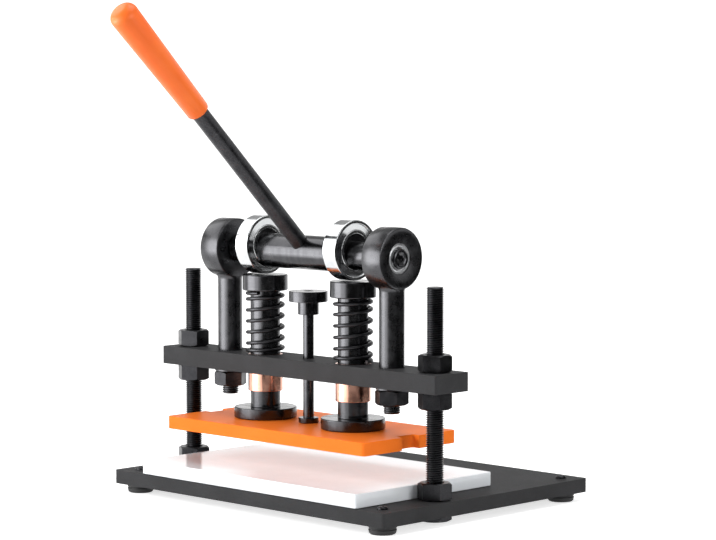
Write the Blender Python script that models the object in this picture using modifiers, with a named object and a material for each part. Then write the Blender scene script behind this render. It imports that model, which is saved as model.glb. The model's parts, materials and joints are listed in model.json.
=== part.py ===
"""Hand lever press that pushes steel rule dies through leather.

Two threaded columns stand on a base plate and carry a crossbar between nuts. Two eye bolts on the
crossbar hold a camshaft in ball bearings. Its two eccentric roller bearings push two sprung pistons
down, and the pistons carry the pressing plate over the cutting board.

Lengths are metres, angles are degrees. +Z is up, +X runs along the crossbar, the lever leans to -Y.
The origin is on the floor, in the middle of the space that the whole press takes up.
"""

from math import cos, pi, radians, sin

import bmesh
import bpy
from mathutils import Matrix, Vector

# General fits
FIT_GAP = 0.0003
CUT_OVERRUN = 0.002
MERGE_DISTANCE = 0.00002

# Distances along the crossbar, from the middle outwards
PISTON_OFFSET = 0.0578
EYE_FROM_PISTON = 0.0487
COLUMN_FROM_EYE = 0.0525
CROSSBAR_END = 0.0205
BASE_SIDE_MARGIN = 0.0185

# Base plate and its feet
BASE_DEPTH = 0.275
BASE_FRONT_REACH = 0.085
BASE_THICKNESS = 0.013
BASE_CORNER_RADIUS = 0.003
FOOT_HEIGHT = 0.008
FOOT_RADIUS = 0.0125
FOOT_INSET = 0.0175
FOOT_EDGE = 0.001
FOOT_FLOOR = 0.003
FOOT_SCREW_RADIUS = 0.003
FOOT_SCREW_CLEARANCE = 0.0004
FOOT_SCREW_HEAD_RADIUS = 0.005
FOOT_SCREW_HEAD_HEIGHT = 0.0024
FOOT_SCREW_HEAD_EDGE = 0.0008

# Columns and their nuts
COLUMN_RADIUS = 0.008
COLUMN_CLEARANCE = 0.0005
COLUMN_ABOVE_NUT = 0.0595
COLUMN_BELOW_NUT = 0.0005
COLUMN_EDGE = 0.0012
NUT_FLATS = 0.027
NUT_HEIGHT = 0.0155
UNDER_NUT_HEIGHT = 0.005

# Cutting board
BOARD_DEPTH = 0.1775
BOARD_THICKNESS = 0.0127
BOARD_FRONT_INSET = 0.0005
BOARD_GAP_LEFT = 0.0075
BOARD_GAP_RIGHT = 0.0015
BOARD_CORNER_RADIUS = 0.002

# Crossbar
CROSSBAR_HEIGHT = 0.0967
CROSSBAR_DEPTH = 0.0435
CROSSBAR_THICKNESS = 0.017
CROSSBAR_CORNER_RADIUS = 0.0015

# Eye bolts that carry the camshaft
EYE_RADIUS = 0.028
EYE_THICKNESS = 0.0235
EYE_EDGE = 0.0015
EYE_DISH_RADIUS = 0.0215
EYE_DISH_DEPTH = 0.002
EYE_SHANK_RADIUS = 0.0115
EYE_THREAD_RADIUS = 0.008
EYE_THREAD_CLEARANCE = 0.0005
EYE_THREAD_BELOW_NUT = 0.008
EYE_NUT_HEIGHT = 0.0135
WASHER_THICKNESS = 0.0025
WASHER_RADIUS = 0.0145

# Ball bearings of the eyes, and the screws at the shaft's ends
EYE_BEARING_BORE_RADIUS = 0.0075
EYE_BEARING_RADIUS = 0.014
EYE_BEARING_WIDTH = 0.007
EYE_BEARING_RECESS = 0.003
END_SCREW_HEAD_HEIGHT = 0.0028
END_SCREW_HEAD_EDGE = 0.0015
END_SCREW_RADIUS = 0.003
END_SCREW_LENGTH = 0.012
END_SCREW_SOCKET_FLATS = 0.006
END_SCREW_SOCKET_DEPTH = 0.0018

# Camshaft and the roller bearings on its eccentric journals
SHAFT_ABOVE_KNOB = 0.0194
SHAFT_RADIUS = 0.016
SHAFT_EDGE = 0.001
ECCENTRICITY = 0.005
JOURNAL_RADIUS = 0.015
JOURNAL_ROOT_STEP = 0.001
ROLLER_RADIUS = 0.0275
ROLLER_WIDTH = 0.016
ROLLER_SIDE_SHIFT = -0.004
ROLLER_EDGE = 0.001
ROLLER_GAP = 0.0004
SPACER_RADIUS = 0.013
SPACER_CLEARANCE = 0.001

# Bearing proportions
RING_WALL_SHARE = 0.28
CAGE_WALL_SHARE = 0.5
CAGE_WIDTH_SHARE = 1.1
BALL_GAP = 0.0003
ROLLER_BALLS = 9
EYE_BALLS = 7

# Lever and grip
LEVER_SIDE_SHIFT = -0.001
LEVER_ANGLE = 44.3
LEVER_RADIUS = 0.0078
LEVER_SEAT = 0.004
LEVER_SOCKET_DEPTH = 0.0035
LEVER_CLEARANCE = 0.0003
GRIP_START = 0.187
GRIP_LENGTH = 0.127
GRIP_START_RADIUS = 0.0104
GRIP_END_RADIUS = 0.013
GRIP_START_EDGE = 0.0022
GRIP_END_ROUND = 0.0085
GRIP_END_WALL = 0.008

# Pistons, their caps, bushings, flanges and screws
PISTON_RADIUS = 0.014
PISTON_CLEARANCE = 0.0003
PISTON_EDGE = 0.0008
CAP_HEIGHT = 0.015
CAP_CROWN = 0.005
CAP_OVERHANG = 0.0025
CAP_EDGE = 0.0012
BUSHING_WALL = 0.00195
BUSHING_BELOW = 0.0175
FLANGE_RADIUS = 0.0295
FLANGE_HEIGHT = 0.010
FLANGE_EDGE = 0.001
PISTON_SCREW_RADIUS = 0.004
PISTON_SCREW_HEAD_RADIUS = 0.0078
PISTON_SCREW_DEPTH = 0.014
PISTON_SCREW_SINK = 0.0005

# Return springs
SPRING_WIRE = 0.0035
SPRING_CLEARANCE = 0.00125
SPRING_CLOSED_PITCH = 0.0046
SPRING_CLOSED_TURNS = 1
SPRING_ACTIVE_TURNS = 4.5
SPRING_POINTS_PER_TURN = 9
SPRING_END_TURN = {"left": 112, "right": 0}

# Pressing plate, and the centre rod with its knob
PLATE_DROP = 0.043
PLATE_DEPTH = 0.120
PLATE_THICKNESS = 0.012
PLATE_END_GAP = 0.029
PLATE_CORNER_RADIUS = 0.004
NOTCH_WIDTH = 0.022
NOTCH_DEPTH = 0.008
NOTCH_CORNER_RADIUS = 0.002
ROD_RADIUS = 0.005
ROD_CLEARANCE = 0.0005
ROD_EDGE = 0.0008
ROD_HEIGHT = 0.119
COLLAR_RADIUS = 0.0093
COLLAR_HEIGHT = 0.005
KNOB_RADIUS = 0.018
KNOB_THICKNESS = 0.0098
KNOB_ROUND = 0.0014
KNOB_CROWN = 0.003
HUB_RADIUS = 0.0097
HUB_HEIGHT = 0.012

# Facets of round pieces
FINE_STEPS = 40
ROUND_STEPS = 32
SMALL_STEPS = 24
SCREW_STEPS = 16
CORNER_STEPS = 3
BALL_SEGMENTS = 6
BALL_RINGS = 4
HEX_SIDES = 6
SHARP_ANGLE = 35

# Heights worked out from the sizes
base_bottom = FOOT_HEIGHT + FIT_GAP
base_top = base_bottom + BASE_THICKNESS
board_bottom = base_top + FIT_GAP
crossbar_bottom = base_top + CROSSBAR_HEIGHT
crossbar_top = crossbar_bottom + CROSSBAR_THICKNESS
upper_nut_bottom = crossbar_top + FIT_GAP
column_top = upper_nut_bottom + NUT_HEIGHT + COLUMN_ABOVE_NUT
under_nut_bottom = base_bottom - FIT_GAP - UNDER_NUT_HEIGHT
plate_top = crossbar_bottom - PLATE_DROP
plate_bottom = plate_top - PLATE_THICKNESS
seat_z = plate_top + FIT_GAP
rod_top = seat_z + ROD_HEIGHT
knob_top = rod_top + FIT_GAP + KNOB_CROWN
knob_bottom = knob_top - KNOB_THICKNESS
hub_bottom = knob_bottom - HUB_HEIGHT
shaft_z = knob_top + SHAFT_ABOVE_KNOB + SHAFT_RADIUS
roller_z = shaft_z + ECCENTRICITY
cap_top = roller_z - ROLLER_RADIUS - ROLLER_GAP
cap_bottom = cap_top - CAP_HEIGHT
washer_top = crossbar_bottom - FIT_GAP
eye_nut_top = washer_top - WASHER_THICKNESS - FIT_GAP

# Places along the crossbar worked out from the sizes
eye_offset = PISTON_OFFSET + EYE_FROM_PISTON
column_offset = eye_offset + COLUMN_FROM_EYE
base_width = 2 * (column_offset + BASE_SIDE_MARGIN)
crossbar_length = 2 * (column_offset + CROSSBAR_END)
plate_length = 2 * (column_offset - PLATE_END_GAP)
eye_face = eye_offset + EYE_THICKNESS / 2
bearing_outer_face = eye_face - EYE_BEARING_RECESS
bearing_inner_face = bearing_outer_face - EYE_BEARING_WIDTH
shaft_end = bearing_outer_face - FIT_GAP

# Radii worked out from the sizes
nut_corner_radius = NUT_FLATS / 2 / cos(pi / HEX_SIDES)
column_hole_radius = COLUMN_RADIUS + COLUMN_CLEARANCE
bushing_bore_radius = PISTON_RADIUS + PISTON_CLEARANCE
bushing_radius = bushing_bore_radius + BUSHING_WALL
spring_radius = PISTON_RADIUS + SPRING_CLEARANCE + SPRING_WIRE / 2
cap_radius = spring_radius + SPRING_WIRE / 2 + CAP_OVERHANG
journal_root_radius = JOURNAL_RADIUS - ECCENTRICITY - JOURNAL_ROOT_STEP

# The columns' line is set back, so that the lever's tip and the base's rear edge are as far from the origin
lever_lean = radians(LEVER_ANGLE)
grip_end = GRIP_START + GRIP_LENGTH
front_reach = (
    (grip_end - GRIP_END_ROUND) * cos(lever_lean)
    + (GRIP_END_RADIUS - GRIP_END_ROUND) * sin(lever_lean)
    + GRIP_END_ROUND
)
back_reach = BASE_DEPTH - BASE_FRONT_REACH
column_y = (front_reach - back_reach) / 2
base_front = column_y - BASE_FRONT_REACH

SIDES = {"left": -1, "right": 1}


def clear_scene():
    for obj in list(bpy.data.objects):
        bpy.data.objects.remove(obj, do_unlink=True)


def new_collection(name):
    collection = bpy.data.collections.new(name)
    bpy.context.scene.collection.children.link(collection)
    return collection


def new_material(name, colour, metallic, roughness):
    material = bpy.data.materials.new(name)
    material.use_nodes = True
    shader = material.node_tree.nodes["Principled BSDF"]
    shader.inputs["Base Color"].default_value = (*colour, 1)
    shader.inputs["Metallic"].default_value = metallic
    shader.inputs["Roughness"].default_value = roughness
    material.diffuse_color = (*colour, 1)
    return material


def origin_of(parent):
    """World place of an empty: none of them is turned, so the places up the chain add."""
    place = Vector()
    while parent:
        place += parent.location
        parent = parent.parent
    return place


def place(obj, location, parent=None, turn=(0, 0, 0)):
    obj.location = Vector(location) - origin_of(parent)
    obj.rotation_euler = turn
    obj.parent = parent
    return obj


def new_axis(name, location, parent=None):
    """An empty on a joint's axis, which the pieces of that body are parented to."""
    empty = bpy.data.objects.new(name, None)
    press.objects.link(empty)
    return place(empty, location, parent)


def add_object(name, data, material, collection=None):
    obj = bpy.data.objects.new(name, data)
    (collection or press).objects.link(obj)
    if material:
        data.materials.append(material)
    return obj


def along_x(side):
    """Turns a shape's own +Z to the outside along the crossbar."""
    return (0, side * pi / 2, 0)


def arc(centre, radius, start, end, steps):
    """Points of a circular arc, from one angle to another in degrees."""
    angles = [radians(start + (end - start) * i / steps) for i in range(steps + 1)]
    return [(centre[0] + radius * cos(a), centre[1] + radius * sin(a)) for a in angles]


def circle(x, y, radius, steps, start=0):
    """Points of a closed circle or of a regular polygon."""
    return arc((x, y), radius, start, start + 360, steps)[:-1]


def rounded_rectangle(x0, y0, x1, y1, radius):
    points = []
    for x, y, start in (
        (x1 - radius, y1 - radius, 0),
        (x0 + radius, y1 - radius, 90),
        (x0 + radius, y0 + radius, 180),
        (x1 - radius, y0 + radius, 270),
    ):
        points += arc((x, y), radius, start, start + 90, CORNER_STEPS)
    return points


def turned(name, profile, steps, material, collection=None):
    """A solid of revolution about its own Z. The profile runs down the outside, top to bottom."""
    mesh = bpy.data.meshes.new(name)
    count = len(profile)
    closed = profile[0][0] > 0
    edges = [(i, i + 1) for i in range(count - 1)] + ([(count - 1, 0)] if closed else [])
    mesh.from_pydata([(r, 0, z) for r, z in profile], edges, [])
    obj = add_object(name, mesh, material, collection)
    screw = obj.modifiers.new("Turn", "SCREW")
    screw.axis = "Z"
    screw.angle = 2 * pi
    screw.steps = screw.render_steps = steps
    screw.use_merge_vertices = True
    screw.merge_threshold = MERGE_DISTANCE
    screw.use_smooth_shade = True
    return as_mesh(obj)


def as_mesh(obj):
    """Replaces an object's curve or modifiers by the mesh that they make, with its crisp edges sharp."""
    graph = bpy.context.evaluated_depsgraph_get()
    mesh = bpy.data.meshes.new_from_object(obj.evaluated_get(graph))
    shape = bmesh.new()
    shape.from_mesh(mesh)
    bmesh.ops.remove_doubles(shape, verts=shape.verts, dist=MERGE_DISTANCE)
    shape.to_mesh(mesh)
    shape.free()
    mesh.shade_smooth()
    mesh.set_sharp_from_angle(angle=radians(SHARP_ANGLE))
    made = bpy.data.objects.new(obj.name, mesh)
    made.matrix_world = obj.matrix_world
    for collection in list(obj.users_collection):
        collection.objects.link(made)
    name = obj.name
    bpy.data.objects.remove(obj, do_unlink=True)
    made.name = name
    return made


def flat(name, outlines, thickness, material, collection=None):
    """A plate of one outline with holes, from its own z = 0 up."""
    curve = bpy.data.curves.new(name, "CURVE")
    curve.dimensions = "2D"
    curve.fill_mode = "BOTH"
    curve.extrude = thickness / 2
    for outline in outlines:
        spline = curve.splines.new("POLY")
        spline.points.add(len(outline) - 1)
        for point, (x, y) in zip(spline.points, outline):
            point.co = (x, y, 0, 1)
        spline.use_cyclic_u = True
    plate = as_mesh(add_object(name, curve, material, collection))
    plate.data.transform(Matrix.Translation((0, 0, thickness / 2)))
    return plate


def boolean(obj, operation, other):
    modifier = obj.modifiers.new(operation.title(), "BOOLEAN")
    modifier.operation = operation
    modifier.object = other
    modifier.solver = "EXACT"
    return obj


def rod_cutter(name, radius, length, location, turn=(0, 0, 0), steps=SMALL_STEPS):
    """A hidden cylinder that starts at a place and runs along its own +Z."""
    return helper(turned(name, rod_profile(radius, 0, length), steps, None, cutters), location, turn)


def helper(obj, location, turn=(0, 0, 0)):
    """Hides a shape that only cuts or joins others."""
    obj.hide_render = True
    obj.display_type = "WIRE"
    return place(obj, location, None, turn)


def rod_profile(radius, bottom, top, edge=0.0):
    """Profile of a solid rod with chamfered ends, or with square ones."""
    if not edge:
        return [(0, top), (radius, top), (radius, bottom), (0, bottom)]
    return [
        (0, top),
        (radius - edge, top),
        (radius, top - edge),
        (radius, bottom + edge),
        (radius - edge, bottom),
        (0, bottom),
    ]


def ring_profile(inner, outer, bottom, top, edge=0.0):
    """Closed profile of a ring whose outer edges are chamfered, or square."""
    if not edge:
        return [(inner, top), (outer, top), (outer, bottom), (inner, bottom)]
    return [
        (inner, top),
        (outer - edge, top),
        (outer, top - edge),
        (outer, bottom + edge),
        (outer - edge, bottom),
        (inner, bottom),
    ]


def copy_of(obj, name):
    """Another object on the same mesh."""
    twin = bpy.data.objects.new(name, obj.data)
    press.objects.link(twin)
    return twin


def make_base():
    half = base_width / 2
    outline = rounded_rectangle(
        -half, base_front, half, base_front + BASE_DEPTH, BASE_CORNER_RADIUS
    )
    hole = FOOT_SCREW_RADIUS + FOOT_SCREW_CLEARANCE
    holes = [circle(x, y, hole, SCREW_STEPS) for x, y in foot_places().values()]
    holes += [
        circle(side * column_offset, column_y, column_hole_radius, SMALL_STEPS)
        for side in SIDES.values()
    ]
    place(flat("base_plate", [outline, *holes], BASE_THICKNESS, base_paint), (0, 0, base_bottom))


def foot_places():
    half = base_width / 2 - FOOT_INSET
    rows = {
        "front": base_front + FOOT_INSET,
        "rear": base_front + BASE_DEPTH - FOOT_INSET,
    }
    return {
        f"{row}_{name}": (side * half, y)
        for row, y in rows.items()
        for name, side in SIDES.items()
    }


def make_feet():
    """Rubber feet, each held by a screw through the base plate."""
    hole = FOOT_SCREW_RADIUS + FIT_GAP
    foot = turned(
        "foot",
        [
            (0, FOOT_FLOOR),
            (hole, FOOT_FLOOR),
            (hole, FOOT_HEIGHT),
            (FOOT_RADIUS, FOOT_HEIGHT),
            (FOOT_RADIUS, FOOT_EDGE),
            (FOOT_RADIUS - FOOT_EDGE, 0),
            (0, 0),
        ],
        SMALL_STEPS,
        rubber,
    )
    head_bottom = base_top + FIT_GAP
    head_top = head_bottom + FOOT_SCREW_HEAD_HEIGHT
    screw = turned(
        "foot_screw",
        [
            (0, head_top),
            (FOOT_SCREW_HEAD_RADIUS - FOOT_SCREW_HEAD_EDGE, head_top),
            (FOOT_SCREW_HEAD_RADIUS, head_top - FOOT_SCREW_HEAD_EDGE),
            (FOOT_SCREW_HEAD_RADIUS, head_bottom),
            (FOOT_SCREW_RADIUS, head_bottom),
            (FOOT_SCREW_RADIUS, FOOT_FLOOR + FIT_GAP),
            (0, FOOT_FLOOR + FIT_GAP),
        ],
        SCREW_STEPS,
        black_steel,
    )
    for corner, (x, y) in foot_places().items():
        place(copy_of(foot, f"foot_{corner}"), (x, y, 0))
        place(copy_of(screw, f"foot_screw_{corner}"), (x, y, 0))
    for pattern in (foot, screw):
        bpy.data.objects.remove(pattern, do_unlink=True)


def nut_shape(name, height, bore):
    """A hexagon nut with two of its flats square to X."""
    corners = circle(0, 0, nut_corner_radius, HEX_SIDES, 180 / HEX_SIDES)
    return flat(name, [corners, circle(0, 0, bore, SMALL_STEPS)], height, black_steel)


def make_columns():
    column = turned(
        "column",
        rod_profile(COLUMN_RADIUS, under_nut_bottom - COLUMN_BELOW_NUT, column_top, COLUMN_EDGE),
        SMALL_STEPS,
        black_steel,
    )
    under_nut = nut_shape("under_nut", UNDER_NUT_HEIGHT, column_hole_radius)
    base_nut = nut_shape("base_nut", NUT_HEIGHT, column_hole_radius)
    for name, side in SIDES.items():
        x = side * column_offset
        place(copy_of(column, f"column_{name}"), (x, column_y, 0))
        place(copy_of(under_nut, f"under_nut_{name}"), (x, column_y, under_nut_bottom))
        place(copy_of(base_nut, f"base_nut_{name}"), (x, column_y, base_top + FIT_GAP))
        for level, z in (
            ("upper", upper_nut_bottom),
            ("lower", crossbar_bottom - FIT_GAP - NUT_HEIGHT),
        ):
            nut_name = f"{level}_nut_{name}"
            axis = new_axis(f"{nut_name}_axis", (x, column_y, z), head_axis)
            place(copy_of(base_nut, nut_name), (x, column_y, z), axis)
    for pattern in (column, under_nut, base_nut):
        bpy.data.objects.remove(pattern, do_unlink=True)


def make_board():
    half_flats = NUT_FLATS / 2
    left = -column_offset + half_flats + BOARD_GAP_LEFT
    right = column_offset - half_flats - BOARD_GAP_RIGHT
    front = base_front + BOARD_FRONT_INSET
    outline = rounded_rectangle(left, front, right, front + BOARD_DEPTH, BOARD_CORNER_RADIUS)
    place(flat("cutting_board", [outline], BOARD_THICKNESS, white_plastic), (0, 0, board_bottom))


def make_crossbar():
    half = crossbar_length / 2
    outline = rounded_rectangle(
        -half,
        column_y - CROSSBAR_DEPTH / 2,
        half,
        column_y + CROSSBAR_DEPTH / 2,
        CROSSBAR_CORNER_RADIUS,
    )
    holes = [circle(0, column_y, ROD_RADIUS + ROD_CLEARANCE, SMALL_STEPS)]
    for side in SIDES.values():
        for offset, radius in (
            (PISTON_OFFSET, bushing_radius + FIT_GAP),
            (eye_offset, EYE_THREAD_RADIUS + EYE_THREAD_CLEARANCE),
            (column_offset, column_hole_radius),
        ):
            holes.append(circle(side * offset, column_y, radius, SMALL_STEPS))
    crossbar = flat("crossbar", [outline, *holes], CROSSBAR_THICKNESS, base_paint)
    place(crossbar, (0, 0, crossbar_bottom), head_axis)


def make_eye_bolts():
    """Eyes with a dished face and a stepped bore for a bearing, on shanks bolted through the crossbar."""
    half = EYE_THICKNESS / 2
    housing_radius = EYE_BEARING_RADIUS + FIT_GAP
    ring_wall = RING_WALL_SHARE * (EYE_BEARING_RADIUS - EYE_BEARING_BORE_RADIUS)
    step_radius = EYE_BEARING_RADIUS - ring_wall
    step = bearing_inner_face - eye_offset - FIT_GAP
    thread_end = eye_nut_top - EYE_NUT_HEIGHT - EYE_THREAD_BELOW_NUT
    shank_top = (EYE_RADIUS + housing_radius) / 2
    shoulder = crossbar_top + FIT_GAP
    nut = nut_shape("eye_nut", EYE_NUT_HEIGHT, EYE_THREAD_RADIUS + EYE_THREAD_CLEARANCE)
    washer = turned(
        "washer",
        ring_profile(EYE_THREAD_RADIUS + EYE_THREAD_CLEARANCE, WASHER_RADIUS, 0, WASHER_THICKNESS),
        SMALL_STEPS,
        black_steel,
    )
    for name, side in SIDES.items():
        x = side * eye_offset
        shank = turned(
            f"eye_shank_{name}",
            [
                (0, shaft_z - shank_top),
                (EYE_SHANK_RADIUS, shaft_z - shank_top),
                (EYE_SHANK_RADIUS, shoulder),
                (EYE_THREAD_RADIUS, shoulder),
                (EYE_THREAD_RADIUS, thread_end + COLUMN_EDGE),
                (EYE_THREAD_RADIUS - COLUMN_EDGE, thread_end),
                (0, thread_end),
            ],
            SMALL_STEPS,
            None,
            cutters,
        )
        helper(shank, (x, column_y, 0))
        eye = turned(
            f"eye_bolt_{name}",
            [
                (housing_radius, half - EYE_DISH_DEPTH),
                (EYE_DISH_RADIUS, half),
                (EYE_RADIUS - EYE_EDGE, half),
                (EYE_RADIUS, half - EYE_EDGE),
                (EYE_RADIUS, -half + EYE_EDGE),
                (EYE_RADIUS - EYE_EDGE, -half),
                (step_radius, -half),
                (step_radius, step),
                (housing_radius, step),
            ],
            FINE_STEPS,
            black_steel,
        )
        place(eye, (x, column_y, shaft_z), head_axis, along_x(side))
        boolean(eye, "UNION", shank)
        place(
            copy_of(washer, f"eye_washer_{name}"),
            (x, column_y, washer_top - WASHER_THICKNESS),
            head_axis,
        )
        place(
            copy_of(nut, f"eye_nut_{name}"),
            (x, column_y, eye_nut_top - EYE_NUT_HEIGHT),
            head_axis,
            (0, 0, pi / HEX_SIDES if side < 0 else 0),
        )
    for pattern in (nut, washer):
        bpy.data.objects.remove(pattern, do_unlink=True)


def make_bearing(prefix, name, x, axis_z, bore, outer, width, balls, steps, edge, bodies):
    """Outer ring, inner ring, and the balls in their cage. bodies are the parents of the three."""
    wall = RING_WALL_SHARE * (outer - bore)
    track_inner = bore + wall
    track_outer = outer - wall
    pitch = (track_inner + track_outer) / 2
    ball_radius = (track_outer - track_inner) / 2 - BALL_GAP
    half = width / 2
    cage_half = CAGE_WIDTH_SHARE * ball_radius
    cage_wall = CAGE_WALL_SHARE * ball_radius
    side = SIDES[name]
    where = (x, column_y, axis_z)
    shapes = {
        "outer_ring": (ring_profile(track_outer, outer, -half, half, edge), steps),
        "inner_ring": (ring_profile(bore, track_inner, -half, half), SMALL_STEPS),
        "ball_cage": (
            ring_profile(pitch - cage_wall, pitch + cage_wall, -cage_half, cage_half),
            SMALL_STEPS,
        ),
    }
    for body, (part, (profile, count)) in zip(bodies, shapes.items()):
        ring = turned(f"{prefix}_{part}_{name}", profile, count, bearing_steel)
        place(ring, where, body, along_x(side))
    spheres = bmesh.new()
    for i in range(balls):
        angle = 2 * pi * i / balls
        bmesh.ops.create_uvsphere(
            spheres,
            u_segments=BALL_SEGMENTS,
            v_segments=BALL_RINGS,
            radius=ball_radius,
            matrix=Matrix.Translation((pitch * cos(angle), pitch * sin(angle), 0)),
        )
    mesh = bpy.data.meshes.new(f"{prefix}_balls_{name}")
    spheres.to_mesh(mesh)
    spheres.free()
    ball_set = helper(add_object(mesh.name, mesh, None, cutters), where, along_x(side))
    boolean(ring, "UNION", ball_set)


def make_eye_bearings():
    middle = (bearing_inner_face + bearing_outer_face) / 2
    for name, side in SIDES.items():
        cage_axis = new_axis(
            f"eye_cage_axis_{name}", (side * middle, column_y, shaft_z), head_axis
        )
        make_bearing(
            "eye",
            name,
            side * middle,
            shaft_z,
            EYE_BEARING_BORE_RADIUS,
            EYE_BEARING_RADIUS,
            EYE_BEARING_WIDTH,
            EYE_BALLS,
            SMALL_STEPS,
            0.0,
            (head_axis, cam_axis, cage_axis),
        )


def roller_offset(side):
    """Distance of a roller's middle from the middle of the shaft."""
    return PISTON_OFFSET + side * ROLLER_SIDE_SHIFT


def journal_span(side):
    """Distances from the middle of the shaft at which an eccentric journal starts and ends."""
    half = ROLLER_WIDTH / 2
    return roller_offset(side) - half - FIT_GAP, roller_offset(side) + half


def make_rollers():
    """The roller bearings, whose axes lie off the shaft's axis by the eccentricity."""
    for name, side in SIDES.items():
        where = (side * roller_offset(side), column_y, roller_z)
        spin_axis = new_axis(f"roller_axis_{name}", where, cam_axis)
        cage_axis = new_axis(f"roller_cage_axis_{name}", where, cam_axis)
        make_bearing(
            "roller",
            name,
            side * roller_offset(side),
            roller_z,
            JOURNAL_RADIUS + FIT_GAP,
            ROLLER_RADIUS,
            ROLLER_WIDTH,
            ROLLER_BALLS,
            FINE_STEPS,
            ROLLER_EDGE,
            (spin_axis, cam_axis, cage_axis),
        )


def shaft_profile(side):
    """Profile of one half of the camshaft, from its end to the middle."""
    end_radius = EYE_BEARING_BORE_RADIUS - FIT_GAP
    hole = END_SCREW_RADIUS + FIT_GAP
    hole_end = shaft_end - END_SCREW_LENGTH - FIT_GAP
    journal_start, journal_end = journal_span(side)
    return [
        (0, hole_end),
        (hole, hole_end),
        (hole, shaft_end),
        (end_radius, shaft_end),
        (end_radius, journal_end),
        (journal_root_radius, journal_end),
        (journal_root_radius, journal_start),
        (SHAFT_RADIUS - SHAFT_EDGE, journal_start),
        (SHAFT_RADIUS, journal_start - SHAFT_EDGE),
    ]


def make_camshaft():
    """Shaft with two eccentric journals, turned down ends with a hole each, and a socket for the lever."""
    profile = shaft_profile(1) + [(radius, -x) for radius, x in reversed(shaft_profile(-1))]
    shaft = turned("camshaft", profile, ROUND_STEPS, black_steel)
    place(shaft, (0, column_y, shaft_z), cam_axis, along_x(1))
    for name, side in SIDES.items():
        journal_start, journal_end = journal_span(side)
        journal = turned(
            f"journal_{name}",
            rod_profile(JOURNAL_RADIUS, journal_start - SHAFT_EDGE, journal_end),
            ROUND_STEPS,
            None,
            cutters,
        )
        boolean(shaft, "UNION", helper(journal, (0, column_y, roller_z), along_x(side)))
    direction = Vector((0, -cos(lever_lean), sin(lever_lean)))
    start = Vector((LEVER_SIDE_SHIFT, column_y, shaft_z)) + direction * LEVER_SOCKET_DEPTH
    socket = rod_cutter(
        "lever_socket",
        LEVER_RADIUS + LEVER_CLEARANCE,
        SHAFT_RADIUS + CUT_OVERRUN,
        start,
        (pi / 2 - lever_lean, 0, 0),
    )
    boolean(shaft, "DIFFERENCE", socket)


def make_spacers():
    """Sleeves on the shaft, from each roller's inner ring to the inner ring of the bearing in the eye."""
    bore = EYE_BEARING_BORE_RADIUS
    nose = bore + RING_WALL_SHARE * (EYE_BEARING_RADIUS - bore)
    end = bearing_inner_face - FIT_GAP
    shoulder = eye_offset - EYE_THICKNESS / 2 - SPACER_CLEARANCE
    for name, side in SIDES.items():
        start = journal_span(side)[1] + FIT_GAP
        spacer = turned(
            f"shaft_spacer_{name}",
            [
                (bore, end),
                (nose, end),
                (nose, shoulder),
                (SPACER_RADIUS, shoulder),
                (SPACER_RADIUS, start),
                (bore, start),
            ],
            SMALL_STEPS,
            black_steel,
        )
        place(spacer, (0, column_y, shaft_z), cam_axis, along_x(side))


def make_end_screws():
    """Socket screws that hold the shaft in its two ball bearings."""
    wall = RING_WALL_SHARE * (EYE_BEARING_RADIUS - EYE_BEARING_BORE_RADIUS)
    head_radius = EYE_BEARING_BORE_RADIUS + wall
    head_start = bearing_outer_face + FIT_GAP
    head_end = head_start + END_SCREW_HEAD_HEIGHT
    for name, side in SIDES.items():
        screw = turned(
            f"shaft_end_screw_{name}",
            [
                (0, head_end),
                (head_radius - END_SCREW_HEAD_EDGE, head_end),
                (head_radius, head_end - END_SCREW_HEAD_EDGE),
                (head_radius, head_start),
                (END_SCREW_RADIUS, head_start),
                (END_SCREW_RADIUS, shaft_end - END_SCREW_LENGTH),
                (0, shaft_end - END_SCREW_LENGTH),
            ],
            SMALL_STEPS,
            black_steel,
        )
        place(screw, (0, column_y, shaft_z), cam_axis, along_x(side))
        socket = rod_cutter(
            f"end_screw_socket_{name}",
            END_SCREW_SOCKET_FLATS / 2 / cos(pi / HEX_SIDES),
            END_SCREW_SOCKET_DEPTH + CUT_OVERRUN,
            (side * (head_end - END_SCREW_SOCKET_DEPTH), column_y, shaft_z),
            along_x(side),
            HEX_SIDES,
        )
        boolean(screw, "DIFFERENCE", socket)


def make_lever():
    lean = (pi / 2 - lever_lean, 0, 0)
    where = (LEVER_SIDE_SHIFT, column_y, shaft_z)
    rod_end = grip_end - GRIP_END_WALL - FIT_GAP
    rod = turned(
        "lever_rod",
        rod_profile(LEVER_RADIUS, LEVER_SEAT, rod_end, SHAFT_EDGE),
        SMALL_STEPS,
        black_steel,
    )
    place(rod, where, cam_axis, lean)
    bore = LEVER_RADIUS + LEVER_CLEARANCE
    dome = arc(
        (GRIP_END_RADIUS - GRIP_END_ROUND, grip_end - GRIP_END_ROUND),
        GRIP_END_ROUND,
        90,
        0,
        CORNER_STEPS + 1,
    )
    grip = turned(
        "lever_grip",
        [
            (0, grip_end),
            *dome,
            (GRIP_START_RADIUS, GRIP_START + GRIP_START_EDGE),
            (GRIP_START_RADIUS - GRIP_START_EDGE, GRIP_START),
            (bore, GRIP_START),
            (bore, grip_end - GRIP_END_WALL),
            (0, grip_end - GRIP_END_WALL),
        ],
        SMALL_STEPS,
        orange_grip,
    )
    place(grip, where, cam_axis, lean)


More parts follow.
